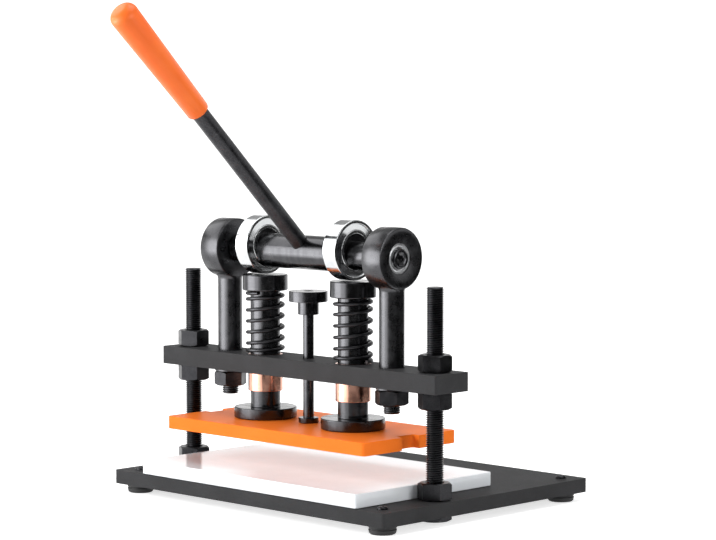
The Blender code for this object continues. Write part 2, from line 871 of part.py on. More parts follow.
def make_pistons():
    """Flanged pistons with their caps, the countersunk screws below them, and the crossbar's bushings."""
    for name, side in SIDES.items():
        x = side * PISTON_OFFSET
        hole = PISTON_SCREW_RADIUS + FIT_GAP
        piston_top = cap_top - CAP_CROWN - FIT_GAP
        piston = turned(
            f"piston_{name}",
            [
                (0, piston_top),
                (PISTON_RADIUS - PISTON_EDGE, piston_top),
                (PISTON_RADIUS, piston_top - PISTON_EDGE),
                *foot_profile(PISTON_RADIUS, FLANGE_RADIUS, FLANGE_HEIGHT, FLANGE_EDGE),
                (hole, seat_z),
                (hole, seat_z + PISTON_SCREW_DEPTH + FIT_GAP),
                (0, seat_z + PISTON_SCREW_DEPTH + FIT_GAP),
            ],
            SMALL_STEPS,
            black_steel,
        )
        bore = PISTON_RADIUS + FIT_GAP
        cap = turned(
            f"piston_cap_{name}",
            [
                (0, cap_top),
                (cap_radius - CAP_EDGE, cap_top),
                (cap_radius, cap_top - CAP_EDGE),
                (cap_radius, cap_bottom),
                (bore, cap_bottom),
                (bore, cap_top - CAP_CROWN),
                (0, cap_top - CAP_CROWN),
            ],
            ROUND_STEPS,
            black_steel,
        )
        screw = turned(
            f"piston_screw_{name}",
            [
                (0, seat_z + PISTON_SCREW_DEPTH),
                (PISTON_SCREW_RADIUS, seat_z + PISTON_SCREW_DEPTH),
                (PISTON_SCREW_RADIUS, countersink_top()),
                (PISTON_SCREW_HEAD_RADIUS, plate_bottom + PISTON_SCREW_SINK),
                (0, plate_bottom + PISTON_SCREW_SINK),
            ],
            SCREW_STEPS,
            black_steel,
        )
        bushing = turned(
            f"bushing_{name}",
            ring_profile(
                bushing_bore_radius,
                bushing_radius,
                crossbar_bottom - BUSHING_BELOW,
                crossbar_top,
            ),
            SMALL_STEPS,
            bronze,
        )
        for piece in (piston, cap, screw):
            place(piece, (x, column_y, 0), platen_axis)
        place(bushing, (x, column_y, 0), head_axis)


def foot_profile(shank, radius, height, edge):
    """Profile of the wider foot with which a turned piece stands on the pressing plate."""
    return [
        (shank, seat_z + height),
        (radius - edge, seat_z + height),
        (radius, seat_z + height - edge),
        (radius, seat_z + edge),
        (radius - edge, seat_z),
    ]


def countersink_top():
    """Height at which a piston screw's cone has narrowed to its shank, at 45 degrees."""
    return plate_bottom + PISTON_SCREW_SINK + PISTON_SCREW_HEAD_RADIUS - PISTON_SCREW_RADIUS


def make_plate():
    """Pressing plate with a notch in each end and countersunk holes for the piston screws."""
    half_x = plate_length / 2
    half_y = PLATE_DEPTH / 2
    outline = rounded_rectangle(
        -half_x, column_y - half_y, half_x, column_y + half_y, PLATE_CORNER_RADIUS
    )
    rod_hole = circle(0, column_y, ROD_RADIUS + FIT_GAP, SMALL_STEPS)
    plate = flat("pressing_plate", [outline, rod_hole], PLATE_THICKNESS, orange_paint)
    place(plate, (0, 0, plate_bottom), platen_axis)
    hole = PISTON_SCREW_RADIUS + FIT_GAP
    cone_top = countersink_top() - plate_bottom
    cone_foot = hole + cone_top + CUT_OVERRUN
    for name, side in SIDES.items():
        notch_outline = rounded_rectangle(
            half_x - NOTCH_DEPTH,
            -NOTCH_WIDTH / 2,
            half_x + NOTCH_WIDTH,
            NOTCH_WIDTH / 2,
            NOTCH_CORNER_RADIUS,
        )
        notch = flat(
            f"notch_{name}", [notch_outline], PLATE_THICKNESS + 2 * CUT_OVERRUN, None, cutters
        )
        turn = (0, 0, 0 if side > 0 else pi)
        boolean(plate, "DIFFERENCE", helper(notch, (0, column_y, plate_bottom - CUT_OVERRUN), turn))
        screw_hole = turned(
            f"screw_hole_{name}",
            [
                (0, PLATE_THICKNESS + CUT_OVERRUN),
                (hole, PLATE_THICKNESS + CUT_OVERRUN),
                (hole, cone_top),
                (cone_foot, -CUT_OVERRUN),
                (0, -CUT_OVERRUN),
            ],
            SCREW_STEPS,
            None,
            cutters,
        )
        where = (side * PISTON_OFFSET, column_y, plate_bottom)
        boolean(plate, "DIFFERENCE", helper(screw_hole, where))


def make_centre_rod():
    """Rod screwed into the plate down to the collar at its foot, with a knob on its top thread."""
    rod_bottom = plate_bottom + FIT_GAP
    rod = turned(
        "centre_rod",
        [
            (0, rod_top),
            (ROD_RADIUS - ROD_EDGE, rod_top),
            (ROD_RADIUS, rod_top - ROD_EDGE),
            *foot_profile(ROD_RADIUS, COLLAR_RADIUS, COLLAR_HEIGHT, ROD_EDGE),
            (ROD_RADIUS, seat_z),
            (ROD_RADIUS, rod_bottom + ROD_EDGE),
            (ROD_RADIUS - ROD_EDGE, rod_bottom),
            (0, rod_bottom),
        ],
        SMALL_STEPS,
        black_steel,
    )
    place(rod, (0, column_y, 0), platen_axis)
    bore = ROD_RADIUS + FIT_GAP
    rim = KNOB_RADIUS - KNOB_ROUND
    knob = turned(
        "stop_knob",
        [
            (0, knob_top),
            *arc((rim, knob_top - KNOB_ROUND), KNOB_ROUND, 90, 0, CORNER_STEPS),
            *arc((rim, knob_bottom + KNOB_ROUND), KNOB_ROUND, 0, -90, CORNER_STEPS),
            (HUB_RADIUS, knob_bottom),
            (HUB_RADIUS, hub_bottom),
            (bore, hub_bottom),
            (bore, rod_top + FIT_GAP),
            (0, rod_top + FIT_GAP),
        ],
        ROUND_STEPS,
        black_steel,
    )
    knob.data.transform(Matrix.Translation((0, 0, -knob_bottom)))
    place(knob, (0, column_y, knob_bottom), knob_axis)


def spring_points():
    """Centre line of a return spring: a closed turn at each end, and open turns between them."""
    bottom = crossbar_top + FIT_GAP + SPRING_WIRE / 2
    top = cap_bottom - FIT_GAP - SPRING_WIRE / 2
    closed_rise = SPRING_CLOSED_PITCH * SPRING_CLOSED_TURNS
    open_rise = top - bottom - 2 * closed_rise
    turns = SPRING_ACTIVE_TURNS + 2 * SPRING_CLOSED_TURNS
    count = round(turns * SPRING_POINTS_PER_TURN)
    points = []
    for i in range(count + 1):
        turn = turns * i / count
        from_end = min(turn, turns - turn, SPRING_CLOSED_TURNS)
        opened = min(max(turn - SPRING_CLOSED_TURNS, 0), SPRING_ACTIVE_TURNS)
        rise = SPRING_CLOSED_PITCH * (from_end if turn < turns / 2 else SPRING_CLOSED_TURNS)
        if turn > turns - SPRING_CLOSED_TURNS:
            rise += SPRING_CLOSED_PITCH * (turn - turns + SPRING_CLOSED_TURNS)
        angle = 2 * pi * turn
        points.append(
            Vector(
                (
                    spring_radius * cos(angle),
                    spring_radius * sin(angle),
                    bottom + rise + open_rise * opened / SPRING_ACTIVE_TURNS,
                )
            )
        )
    return points


def make_springs():
    points = spring_points()
    spare = [
        (a - b).length
        for i, a in enumerate(points)
        for b in points[i + SPRING_POINTS_PER_TURN // 2 + 1 :]
    ]
    print(f"least gap between the spring's turns: {(min(spare) - SPRING_WIRE) * 1000:.2f} mm")
    for name, side in SIDES.items():
        curve = bpy.data.curves.new(f"return_spring_{name}", "CURVE")
        curve.dimensions = "3D"
        curve.bevel_depth = SPRING_WIRE / 2
        curve.bevel_resolution = 1
        curve.use_fill_caps = True
        spline = curve.splines.new("POLY")
        spline.points.add(len(points) - 1)
        for point, co in zip(spline.points, points):
            point.co = (*co, 1)
        spring = add_object(curve.name, curve, black_steel)
        spot = (side * PISTON_OFFSET, column_y, 0)
        place(as_mesh(spring), spot, head_axis, (0, 0, radians(SPRING_END_TURN[name])))


clear_scene()
press = new_collection("Die_Cutting_Press")
cutters = new_collection("Cutters")

base_paint = new_material("Dark grey powder coat", (0.075, 0.075, 0.077), 0.1, 0.5)
black_steel = new_material("Black oxide steel", (0.018, 0.018, 0.02), 0.7, 0.35)
bearing_steel = new_material("Polished bearing steel", (0.75, 0.75, 0.76), 1.0, 0.15)
bronze = new_material("Copper coloured bronze", (0.72, 0.35, 0.22), 1.0, 0.3)
orange_paint = new_material("Orange powder coat", (0.9, 0.2, 0.03), 0.0, 0.35)
orange_grip = new_material("Orange moulded grip", (0.9, 0.17, 0.03), 0.0, 0.4)
white_plastic = new_material("White cutting board plastic", (0.85, 0.85, 0.86), 0.0, 0.25)
rubber = new_material("Black rubber", (0.02, 0.02, 0.02), 0.0, 0.8)

head_axis = new_axis("head_slide_axis", (0, column_y, crossbar_bottom))
cam_axis = new_axis("cam_axis", (0, column_y, shaft_z), head_axis)
platen_axis = new_axis("platen_slide_axis", (0, column_y, plate_top), head_axis)
knob_axis = new_axis("knob_axis", (0, column_y, knob_bottom), platen_axis)

make_base()
make_feet()
make_columns()
make_board()
make_crossbar()
make_eye_bolts()
make_eye_bearings()
make_camshaft()
make_spacers()
make_end_screws()
make_rollers()
make_lever()
make_pistons()
make_springs()
make_plate()
make_centre_rod()
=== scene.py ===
"""Looks of the hand lever die cutting press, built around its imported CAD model.

Every piece is turned, sawn, threaded or wound here with round edges and real threads, and takes
the place of its plain CAD solid. Lengths are metres, +Z is up, +X runs along the crossbar.
"""

import json
from math import atan2, ceil, cos, hypot, pi, radians, sin, tan

import bpy
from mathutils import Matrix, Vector


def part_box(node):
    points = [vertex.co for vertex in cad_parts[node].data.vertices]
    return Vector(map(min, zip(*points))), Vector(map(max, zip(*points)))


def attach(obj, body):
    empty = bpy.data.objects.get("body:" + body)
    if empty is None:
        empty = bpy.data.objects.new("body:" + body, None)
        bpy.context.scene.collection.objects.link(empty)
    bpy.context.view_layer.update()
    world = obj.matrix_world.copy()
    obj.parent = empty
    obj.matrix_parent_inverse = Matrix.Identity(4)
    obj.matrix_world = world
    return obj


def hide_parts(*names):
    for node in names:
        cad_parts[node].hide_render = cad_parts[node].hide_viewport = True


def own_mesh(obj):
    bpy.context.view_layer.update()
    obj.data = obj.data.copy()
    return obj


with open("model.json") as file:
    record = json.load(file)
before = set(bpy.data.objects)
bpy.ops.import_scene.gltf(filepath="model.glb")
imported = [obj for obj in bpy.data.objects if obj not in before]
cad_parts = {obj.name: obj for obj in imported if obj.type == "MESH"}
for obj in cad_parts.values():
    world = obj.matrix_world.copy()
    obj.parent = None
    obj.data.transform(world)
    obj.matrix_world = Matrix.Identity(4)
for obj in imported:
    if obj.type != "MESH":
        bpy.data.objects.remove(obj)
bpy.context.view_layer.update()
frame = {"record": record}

MM = 0.001
SIDES = {"left": -1, "right": 1}
SPIN_STEPS = 96
SMALL_STEPS = 48
HEX = 6
# Points closer than this are one
MERGE = 0.002 * MM
# Threads of the columns and of the eye bolts' studs, and the holes that they pass through
M16_PITCH = 2 * MM
M16_CHAMFER = 1.2 * MM
M16_HOLE = 8.5 * MM
# Half the length of an eye along the shaft
EYE_HALF = 11.75 * MM
# Radii of the centre rod and of the lever's bar
ROD_RADIUS = 5 * MM
BAR_RADIUS = 7.8 * MM

# Which body each CAD node has
body_of = {
    node: body for body, nodes in frame["record"]["behaviour"]["bodies"].items() for node in nodes
}


# ---------------------------------------------------------------- places taken from the CAD model


def low(node):
    return Vector(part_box(node)[0])


def high(node):
    return Vector(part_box(node)[1])


def middle(node):
    return (low(node) + high(node)) / 2


def radius_of(node):
    """Radius of an upright round piece."""
    return (high(node).x - low(node).x) / 2


def radius_about_x(node):
    """Radius of a round piece that lies along the crossbar."""
    return (high(node).y - low(node).y) / 2


column_y = middle("column_left").y
shaft_z = middle("eye_inner_ring_left").z
roller_z = middle("roller_outer_ring_left").z
crossbar_top = high("crossbar").z
crossbar_bottom = low("crossbar").z
plate_bottom = low("pressing_plate").z
plate_top = high("pressing_plate").z
# The lever's foot on the shaft's axis, and the turn that lays a piece's +Z along the lever
lever_foot = (-MM, column_y, shaft_z)
lever_turn = (pi / 2 - radians(44.3), 0, 0)


# ---------------------------------------------------------------- modelling by hand


def deselect():
    if bpy.context.object and bpy.context.object.mode != "OBJECT":
        bpy.ops.object.mode_set(mode="OBJECT")
    bpy.ops.object.select_all(action="DESELECT")


def pick(obj, *others):
    """Selects these objects, the first one active."""
    deselect()
    for each in (obj, *others):
        each.select_set(True)
    bpy.context.view_layer.objects.active = obj


def settle(obj, place=(0, 0, 0), turn=(0, 0, 0)):
    """Turns and moves a piece, and writes its place into its mesh."""
    obj.rotation_euler = turn
    obj.location = place
    pick(obj)
    bpy.ops.object.transform_apply(location=True, rotation=True, scale=True)
    return obj


def apply_modifiers(obj):
    pick(obj)
    for modifier in list(obj.modifiers):
        bpy.ops.object.modifier_apply(modifier=modifier.name)
    return obj


def draw_line(name, points):
    """A line of edges through (radius, height) points, drawn by extruding one vertex."""
    deselect()
    bpy.ops.mesh.primitive_plane_add(size=MM)
    obj = bpy.context.object
    obj.name = name
    bpy.ops.object.mode_set(mode="EDIT")
    bpy.ops.mesh.select_mode(type="VERT")
    bpy.ops.mesh.merge(type="CENTER")
    bpy.ops.transform.translate(value=(points[0][0], 0, points[0][1]))
    for (r0, z0), (r1, z1) in zip(points, points[1:]):
        bpy.ops.mesh.extrude_region_move(TRANSFORM_OT_translate={"value": (r1 - r0, 0, z1 - z0)})
    bpy.ops.mesh.select_all(action="SELECT")
    return obj


def close_up():
    """Merges the doubles of the mesh in edit mode, turns its faces outwards, leaves edit mode."""
    bpy.ops.mesh.select_all(action="SELECT")
    bpy.ops.mesh.remove_doubles(threshold=MERGE)
    bpy.ops.mesh.normals_make_consistent(inside=False)
    bpy.ops.object.mode_set(mode="OBJECT")


def write_turning_map(obj, about_x=False):
    """UV map of a piece turned about Z, or else X: across the tool's path, and round the axis."""
    layer = obj.data.uv_layers.get("turning") or obj.data.uv_layers.new(name="turning")
    for loop in obj.data.loops:
        x, y, z = obj.data.vertices[loop.vertex_index].co
        if about_x:
            x, y, z = y, z, abs(x)
        layer.data[loop.index].uv = (hypot(x, y) + z, atan2(y, x) / (2 * pi))


def lathe(name, points, steps=SPIN_STEPS, edge=0.0, rings=2):
    """A piece turned about its own Z. A profile that ends where it starts makes a ring."""
    obj = draw_line(name, points)
    bpy.ops.mesh.spin(steps=steps, angle=2 * pi, center=(0, 0, 0), axis=(0, 0, 1))
    close_up()
    if edge:
        round_edges(obj, edge, rings)
    else:
        smooth(obj)
    write_turning_map(obj)
    return obj


def smooth(obj, angle=30):
    """Shades a piece smooth, but not across edges that turn by more than this angle."""
    pick(obj)
    bpy.ops.object.shade_smooth_by_angle(angle=radians(angle))
    return obj


def round_edges(obj, width, segments=2, angle=30):
    """Rounds all crisp edges, as tumbling or a light file does."""
    smooth(obj, angle)
    bevel = obj.modifiers.new("Edges", "BEVEL")
    bevel.width = width
    bevel.segments = segments
    bevel.limit_method = "ANGLE"
    bevel.angle_limit = radians(angle)
    bevel.harden_normals = True
    bevel.use_clamp_overlap = True
    return apply_modifiers(obj)


def cut(obj, *tools, operation="DIFFERENCE"):
    """Cuts, joins or trims a piece with closed tool shapes, which are then thrown away."""
    for tool in tools:
        modifier = obj.modifiers.new("Tool", "BOOLEAN")
        modifier.operation = operation
        modifier.object = tool
        modifier.solver = "EXACT"
        apply_modifiers(obj)
        discard(tool)
    return obj


def rod(name, radius, bottom, top, steps=SPIN_STEPS):
    return lathe(name, [(0, top), (radius, top), (radius, bottom), (0, bottom)], steps)


def ring(name, inner, outer, bottom, top, edge):
    points = [(inner, top), (outer, top), (outer, bottom), (inner, bottom), (inner, top)]
    return lathe(name, points, edge=edge)


def take(name):
    """Names the primitive that was just added, and writes its place into its mesh."""
    obj = bpy.context.object
    obj.name = name
    return settle(obj, obj.location, obj.rotation_euler)


def hexagon(name, flats, bottom, top):
    """A hexagon prism with two flats square to X."""
    deselect()
    bpy.ops.mesh.primitive_cylinder_add(
        vertices=HEX,
        radius=flats / 2 / cos(pi / HEX),
        depth=top - bottom,
        location=(0, 0, (bottom + top) / 2),
    )
    return take(name)


def block(name, size, place):
    deselect()
    bpy.ops.mesh.primitive_cube_add(size=1, location=place, scale=size)
    return take(name)


def slab(name, node, corner, edge, tools=()):
    """A plate of a CAD node's size with rounded corners, sawn, drilled, and its edges broken."""
    a = low(node)
    b = high(node)
    obj = block(name, b - a, (a + b) / 2)
    bpy.ops.object.mode_set(mode="EDIT")
    bpy.ops.mesh.select_mode(type="EDGE")
    bpy.ops.mesh.select_all(action="DESELECT")
    bpy.ops.object.mode_set(mode="OBJECT")
    for line in obj.data.edges:
        ends = [obj.data.vertices[i].co for i in line.vertices]
        line.select = abs(ends[0].z - ends[1].z) > (b.z - a.z) / 2
    bpy.ops.object.mode_set(mode="EDIT")
    bpy.ops.mesh.bevel(offset=corner, offset_type="OFFSET", segments=8, affect="EDGES")
    bpy.ops.object.mode_set(mode="OBJECT")
    cut(obj, *tools)
    return round_edges(obj, edge, 3)


def copy_to(obj, name, place=(0, 0, 0), turn=(0, 0, 0)):
    """A copy with a mesh of its own."""
    twin = obj.copy()
    twin.data = obj.data.copy()
    twin.name = name
    bpy.context.scene.collection.objects.link(twin)
    return settle(twin, place, turn)


def discard(*objects):
    for obj in objects:
        bpy.data.objects.remove(obj, do_unlink=True)


def join(obj, *others):
    pick(obj, *others)
    bpy.ops.object.join()


def dress(piece, node, material):
    """The piece takes the place of a CAD node, on its body and with the given material."""
    piece.data.materials.clear()
    piece.data.materials.append(material)
    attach(piece, body_of[node])
    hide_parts(node)


def along_x(side=1):
    """Turns a piece's own +Z to the outside along the crossbar."""
    return (0, side * pi / 2, 0)


# ---------------------------------------------------------------- materials


def linear(hex_colour):
    """sRGB hex value to the linear colour that a shader reads."""
    parts = [int(hex_colour[i : i + 2], 16) / 255 for i in (1, 3, 5)]
    return (*[c / 12.92 if c <= 0.04045 else ((c + 0.055) / 1.055) ** 2.4 for c in parts], 1)


def per_metre(size_mm):
    """Noise scale at which one cell of the pattern is about this size."""
    return 1 / (size_mm * MM)


def new_material(name, base, values):
    """A material whose shader has its uniform values on its own sockets."""
    material = bpy.data.materials.new(name)
    material.use_nodes = True
    shader = material.node_tree.nodes["Principled BSDF"]
    shader.inputs["Base Color"].default_value = linear(base)
    for socket, value in values.items():
        shader.inputs[socket].default_value = value
    return material, shader


def add_node(material, kind, settings=None, inputs=None, stops=(), feeds=None):
    """Adds a node with its settings and links.

    An input is a value or a (node, output) pair. Stops are a ramp's positions and hex colours.
    Feeds are the node's own outputs, each with the (node, input) pair that it goes to."""
    tree = material.node_tree
    node = tree.nodes.new(kind)
    for key, value in (settings or {}).items():
        setattr(node, key, value)
    for key, value in (inputs or {}).items():
        if isinstance(value, tuple) and isinstance(value[0], bpy.types.Node):
            tree.links.new(value[0].outputs[value[1]], node.inputs[key])
        else:
            node.inputs[key].default_value = value
    for _ in stops[2:]:
        node.color_ramp.elements.new(1.0)
    for i, (position, colour) in enumerate(stops):
        node.color_ramp.elements[i].position = position
        node.color_ramp.elements[i].color = linear(colour)
    for key, (target, socket) in (feeds or {}).items():
        tree.links.new(node.outputs[key], target.inputs[socket])
    return node


def finish_surface(material, shader, tint, stops, wear, roughness, bumps):
    """Lets patterns drive a shader: a ramp its colour, a range its roughness, bumps its normal.

    Tint and wear are (node, output) pairs, and roughness has its least and its most. Each bump is
    a pattern's node, its depth in millimetres and its strength. The first one lies deepest."""
    add_node(
        material,
        "ShaderNodeValToRGB",
        inputs={"Fac": tint},
        stops=stops,
        feeds={"Color": (shader, "Base Color")},
    )
    least, most = roughness
    span = {"From Min": 0.3, "From Max": 0.7, "To Min": least, "To Max": most}
    add_node(
        material,
        "ShaderNodeMapRange",
        inputs={"Value": wear, **span},
        feeds={"Result": (shader, "Roughness")},
    )
    above = shader
    for pattern, depth, strength in reversed(bumps):
        above = add_node(
            material,
            "ShaderNodeBump",
            inputs={"Height": (pattern, "Fac"), "Distance": depth * MM, "Strength": strength},
            feeds={"Normal": (above, "Normal")},
        )
    return material


def powder_coat(name, dark, base, light, peel_mm, grain_mm, roughness, shine):
    """Powder coat on steel plate: sprayed, molten in the oven and set with a fine orange peel.

    The eye sees a soft even colour, a broken highlight, and a paler, thinner coat in places."""
    values = {"Metallic": 0.0, "IOR": 1.5, "Specular IOR Level": shine}
    material, shader = new_material(name, base, values)
    place = add_node(material, "ShaderNodeTexCoord")
    # Coat thickness drifts over a few centimetres. Orange peel and the powder's own grain lie on it
    cloud, peel, grain = [
        add_node(
            material,
            "ShaderNodeTexNoise",
            inputs={"Vector": (place, "Object"), "Scale": per_metre(size), "Detail": detail},
        )
        for size, detail in ((35, 3.0), (peel_mm, 2.0), (grain_mm, 4.0))
    ]
    mixed = add_node(
        material,
        "ShaderNodeMix",
        {"data_type": "FLOAT"},
        {"Factor": 0.45, "A": (cloud, "Fac"), "B": (grain, "Fac")},
    )
    return finish_surface(
        material,
        shader,
        (mixed, "Result"),
        [(0.3, dark), (0.5, base), (0.72, light)],
        (grain, "Fac"),
        (roughness - 0.06, roughness + 0.08),
        [(peel, 0.06, 0.5), (grain, 0.03, 0.5)],
    )


def turned_metal(name, dark, base, light, groove_mm, roughness, groove_depth, grain_depth=0.0):
    """Metal turned on a lathe: the tool leaves fine rings, which stretch the highlight across them.

    The rings follow the turning map, so they run round the piece on its side and on its faces.
    Real ones are about 0.1 mm apart, and these are coarser, so that they show. Depths are in mm."""
    material, shader = new_material(name, base, {"Metallic": 1.0})
    chart = add_node(material, "ShaderNodeUVMap", {"uv_map": "turning"})
    split = add_node(material, "ShaderNodeSeparateXYZ", inputs={"Vector": (chart, "UV")})
    rings = add_node(
        material,
        "ShaderNodeTexNoise",
        {"noise_dimensions": "1D"},
        {"W": (split, "X"), "Scale": per_metre(groove_mm), "Detail": 3.0},
    )
    place = add_node(material, "ShaderNodeTexCoord")
    # Handling stains, and the fine grain of the metal or of its black skin
    stain, grain = [
        add_node(
            material,
            "ShaderNodeTexNoise",
            inputs={"Vector": (place, "Object"), "Scale": per_metre(size), "Detail": detail},
        )
        for size, detail in ((9, 4.0), (0.9, 3.0))
    ]
    mixed = add_node(
        material,
        "ShaderNodeMix",
        {"data_type": "FLOAT"},
        {"Factor": 0.4, "A": (stain, "Fac"), "B": (rings, "Fac")},
    )
    return finish_surface(
        material,
        shader,
        (mixed, "Result"),
        [(0.32, dark), (0.5, base), (0.7, light)],
        (stain, "Fac"),
        (roughness - 0.05, roughness + 0.07),
        [(rings, groove_depth, 0.6), (grain, grain_depth, 0.6)],
    )


def blackened_steel(name, dark, base, light, roughness, grain_mm=0.7):
    """Steel blackened in a hot oxide bath, then oiled: a thin black skin on drawn or cut steel.

    The eye sees near black metal with cloudy patches of oil and a fine grain in its highlights."""
    material, shader = new_material(name, base, {"Metallic": 1.0})
    place = add_node(material, "ShaderNodeTexCoord")
    oil, grain = [
        add_node(
            material,
            "ShaderNodeTexNoise",
            inputs={"Vector": (place, "Object"), "Scale": per_metre(size), "Detail": detail},
        )
        for size, detail in ((11, 5.0), (grain_mm, 4.0))
    ]
    mixed = add_node(
        material,
        "ShaderNodeMix",
        {"data_type": "FLOAT"},
        {"Factor": 0.5, "A": (oil, "Fac"), "B": (grain, "Fac")},
    )
    return finish_surface(
        material,
        shader,
        (mixed, "Result"),
        [(0.35, dark), (0.5, base), (0.68, light)],
        (oil, "Fac"),
        (roughness - 0.07, roughness + 0.1),
        [(grain, 0.03, 0.6)],
    )


def moulded_plastic(name, dark, base, light, pebble_mm, depth_mm, roughness, ior):
    """Plastic moulded in a lightly textured tool: even colour, a fine pebble in the highlight."""
    material, shader = new_material(name, base, {"Metallic": 0.0, "IOR": ior})
    place = add_node(material, "ShaderNodeTexCoord")
    cloud, pebble = [
        add_node(
            material,
            "ShaderNodeTexNoise",
            inputs={"Vector": (place, "Object"), "Scale": per_metre(size), "Detail": detail},
        )
        for size, detail in ((28, 3.0), (pebble_mm, 2.0))
    ]
    return finish_surface(
        material,
        shader,
        (cloud, "Fac"),
        [(0.3, dark), (0.5, base), (0.7, light)],
        (pebble, "Fac"),
        (roughness - 0.05, roughness + 0.06),
        [(pebble, depth_mm, 0.6)],
    )


# Dark grey, almost matt coat of the base and the crossbar, and the smoother orange one of the plate
base_coat = powder_coat(
    "Dark grey powder coat", "#363637", "#3b3b3c", "#424244", 1.6, 0.7, 0.5, 0.03
)
plate_coat = powder_coat(
    "Orange powder coat", "#fa7927", "#fd7d2a", "#ff832f", 1.8, 0.8, 0.38, 0.04
)
# Smooth black turned parts: bright where they mirror a lamp, black where they mirror the screen
turned_black = turned_metal(
    "Turned steel, black oxide", "#3b3b3d", "#434345", "#4e4e50", 0.5, 0.21, 0.006, 0.003
)
# Greyer and less smooth black of the forged eyes, which show no sharp mirror image
eye_black = turned_metal(
    "Forged and turned steel, black oxide", "#404042", "#48484a", "#545456", 0.5, 0.28, 0.006, 0.003
)
# Duller black of drawn hexagon bar, of cut threads, of spring wire and of the lever's drawn bar
nut_black = blackened_steel("Hexagon steel, black oxide", "#29292b", "#333335", "#3f3f41", 0.34)
thread_black = blackened_steel("Cut thread, black oxide", "#252527", "#2e2e30", "#3b3b3d", 0.33)
spring_black = blackened_steel(
    "Spring wire, black enamel", "#303032", "#3a3a3c", "#464648", 0.32, 0.5
)
lever_black = blackened_steel("Drawn bar, black oxide", "#2f2f31", "#3c3c3e", "#4c4c4e", 0.36, 1.2)
# Bright ground races, and the duller pressed steel of their cages and shields
bearing_steel = turned_metal(
    "Ground bearing steel", "#bdbfc1", "#cacccd", "#d6d7d8", 0.35, 0.14, 0.004
)
cage_steel = turned_metal(
    "Pressed steel, zinc coated", "#a2a3a6", "#b0b1b3", "#bebfc1", 0.5, 0.38, 0.004
)
shield_steel = turned_metal(
    "Pressed steel shield", "#c6c7ca", "#d0d1d3", "#dadbdc", 0.45, 0.36, 0.004
)
# Copper coloured bronze with fine rings
bushing_bronze = turned_metal(
    "Turned bronze, copper coloured", "#c08d7a", "#cd9a86", "#d8a894", 0.45, 0.2, 0.004
)
# Soft orange grip, waxy white board and dull black rubber
grip_plastic = moulded_plastic(
    "Moulded vinyl grip, orange", "#fa6d22", "#fd7326", "#ff7a2c", 0.9, 0.03, 0.36, 1.4
)
board_plastic = moulded_plastic(
    "Moulded polyethylene board, white", "#ebeff2", "#eef2f6", "#f2f5f9", 1.1, 0.02, 0.12, 1.52
)
foot_rubber = moulded_plastic(
    "Moulded rubber, black", "#1c1c1d", "#222223", "#2a2a2b", 0.8, 0.05, 0.62, 1.5
)


# ---------------------------------------------------------------- pieces


def hex_nut(name, flats, height, bore):
    """A hexagon nut: each end is turned to a washer face and a 30 degree cone, and countersunk."""
    reach = flats / cos(pi / HEX) / 2 + MM
    face = flats / 2 * 0.96
    drop = (reach - face) * tan(radians(30))
    blank = [(0, height), (face, height), (reach, height - drop), (reach, drop), (face, 0), (0, 0)]
    turned = lathe("nut_blank", blank)
    nut = cut(hexagon(name, flats, -MM, height + MM), turned, operation="INTERSECT")
    sink = 0.8 * MM
    bored = [
        (0, height + MM),
        (bore + sink + MM, height + MM),
        (bore, height - sink),
        (bore, sink),
        (bore + sink + MM, -MM),
        (0, -MM),
    ]
    cut(nut, lathe("nut_drill", bored, SMALL_STEPS))
    return round_edges(nut, 0.25 * MM, angle=20)


def threaded_rod(name, radius, bottom, top):
    """A rod with a real cut thread of M16 pitch, sawn off at both ends and chamfered there."""
    depth = 0.61 * M16_PITCH
    root = radius - depth
    start = bottom - M16_PITCH
    ridge = [(root, 0), (root, 0.12), (radius, 0.44), (radius, 0.56), (root, 0.88), (root, 1)]
    obj = draw_line(name, [(reach, start + share * M16_PITCH) for reach, share in ridge])
    bpy.ops.object.mode_set(mode="OBJECT")
    screw = obj.modifiers.new("Thread", "SCREW")
    screw.axis = "Z"
    screw.angle = 2 * pi
    screw.screw_offset = M16_PITCH
    screw.iterations = ceil((top - bottom) / M16_PITCH) + 2
    screw.steps = screw.render_steps = 32
    apply_modifiers(obj)
    bpy.ops.object.mode_set(mode="EDIT")
    bpy.ops.mesh.select_all(action="SELECT")
    bpy.ops.mesh.remove_doubles(threshold=MERGE)
    for height, upward in ((top, True), (bottom, False)):
        bpy.ops.mesh.select_all(action="SELECT")
        bpy.ops.mesh.bisect(
            plane_co=(0, 0, height),
            plane_no=(0, 0, 1),
            use_fill=True,
            clear_outer=upward,
            clear_inner=not upward,
        )
    close_up()
    reach = radius + MM
    blank = [
        (0, top),
        (radius - M16_CHAMFER, top),
        (reach, top - M16_CHAMFER - MM),
        (reach, bottom + M16_CHAMFER + MM),
        (radius - M16_CHAMFER, bottom),
        (0, bottom),
    ]
    cut(obj, lathe("thread_blank", blank, SMALL_STEPS), operation="INTERSECT")
    return smooth(obj, 40)


def make_base():
    """Thick plate with a hole for each column."""
    drill = rod("column_drill", M16_HOLE, -MM, 30 * MM, SMALL_STEPS)
    spots = [(middle(f"column_{name}").x, column_y, 0) for name in SIDES]
    holes = [copy_to(drill, "column_hole", spot) for spot in spots]
    discard(drill)
    plate = slab("coated_base_plate", "base_plate", corner=3 * MM, edge=0.9 * MM, tools=holes)
    dress(plate, "base_plate", base_coat)


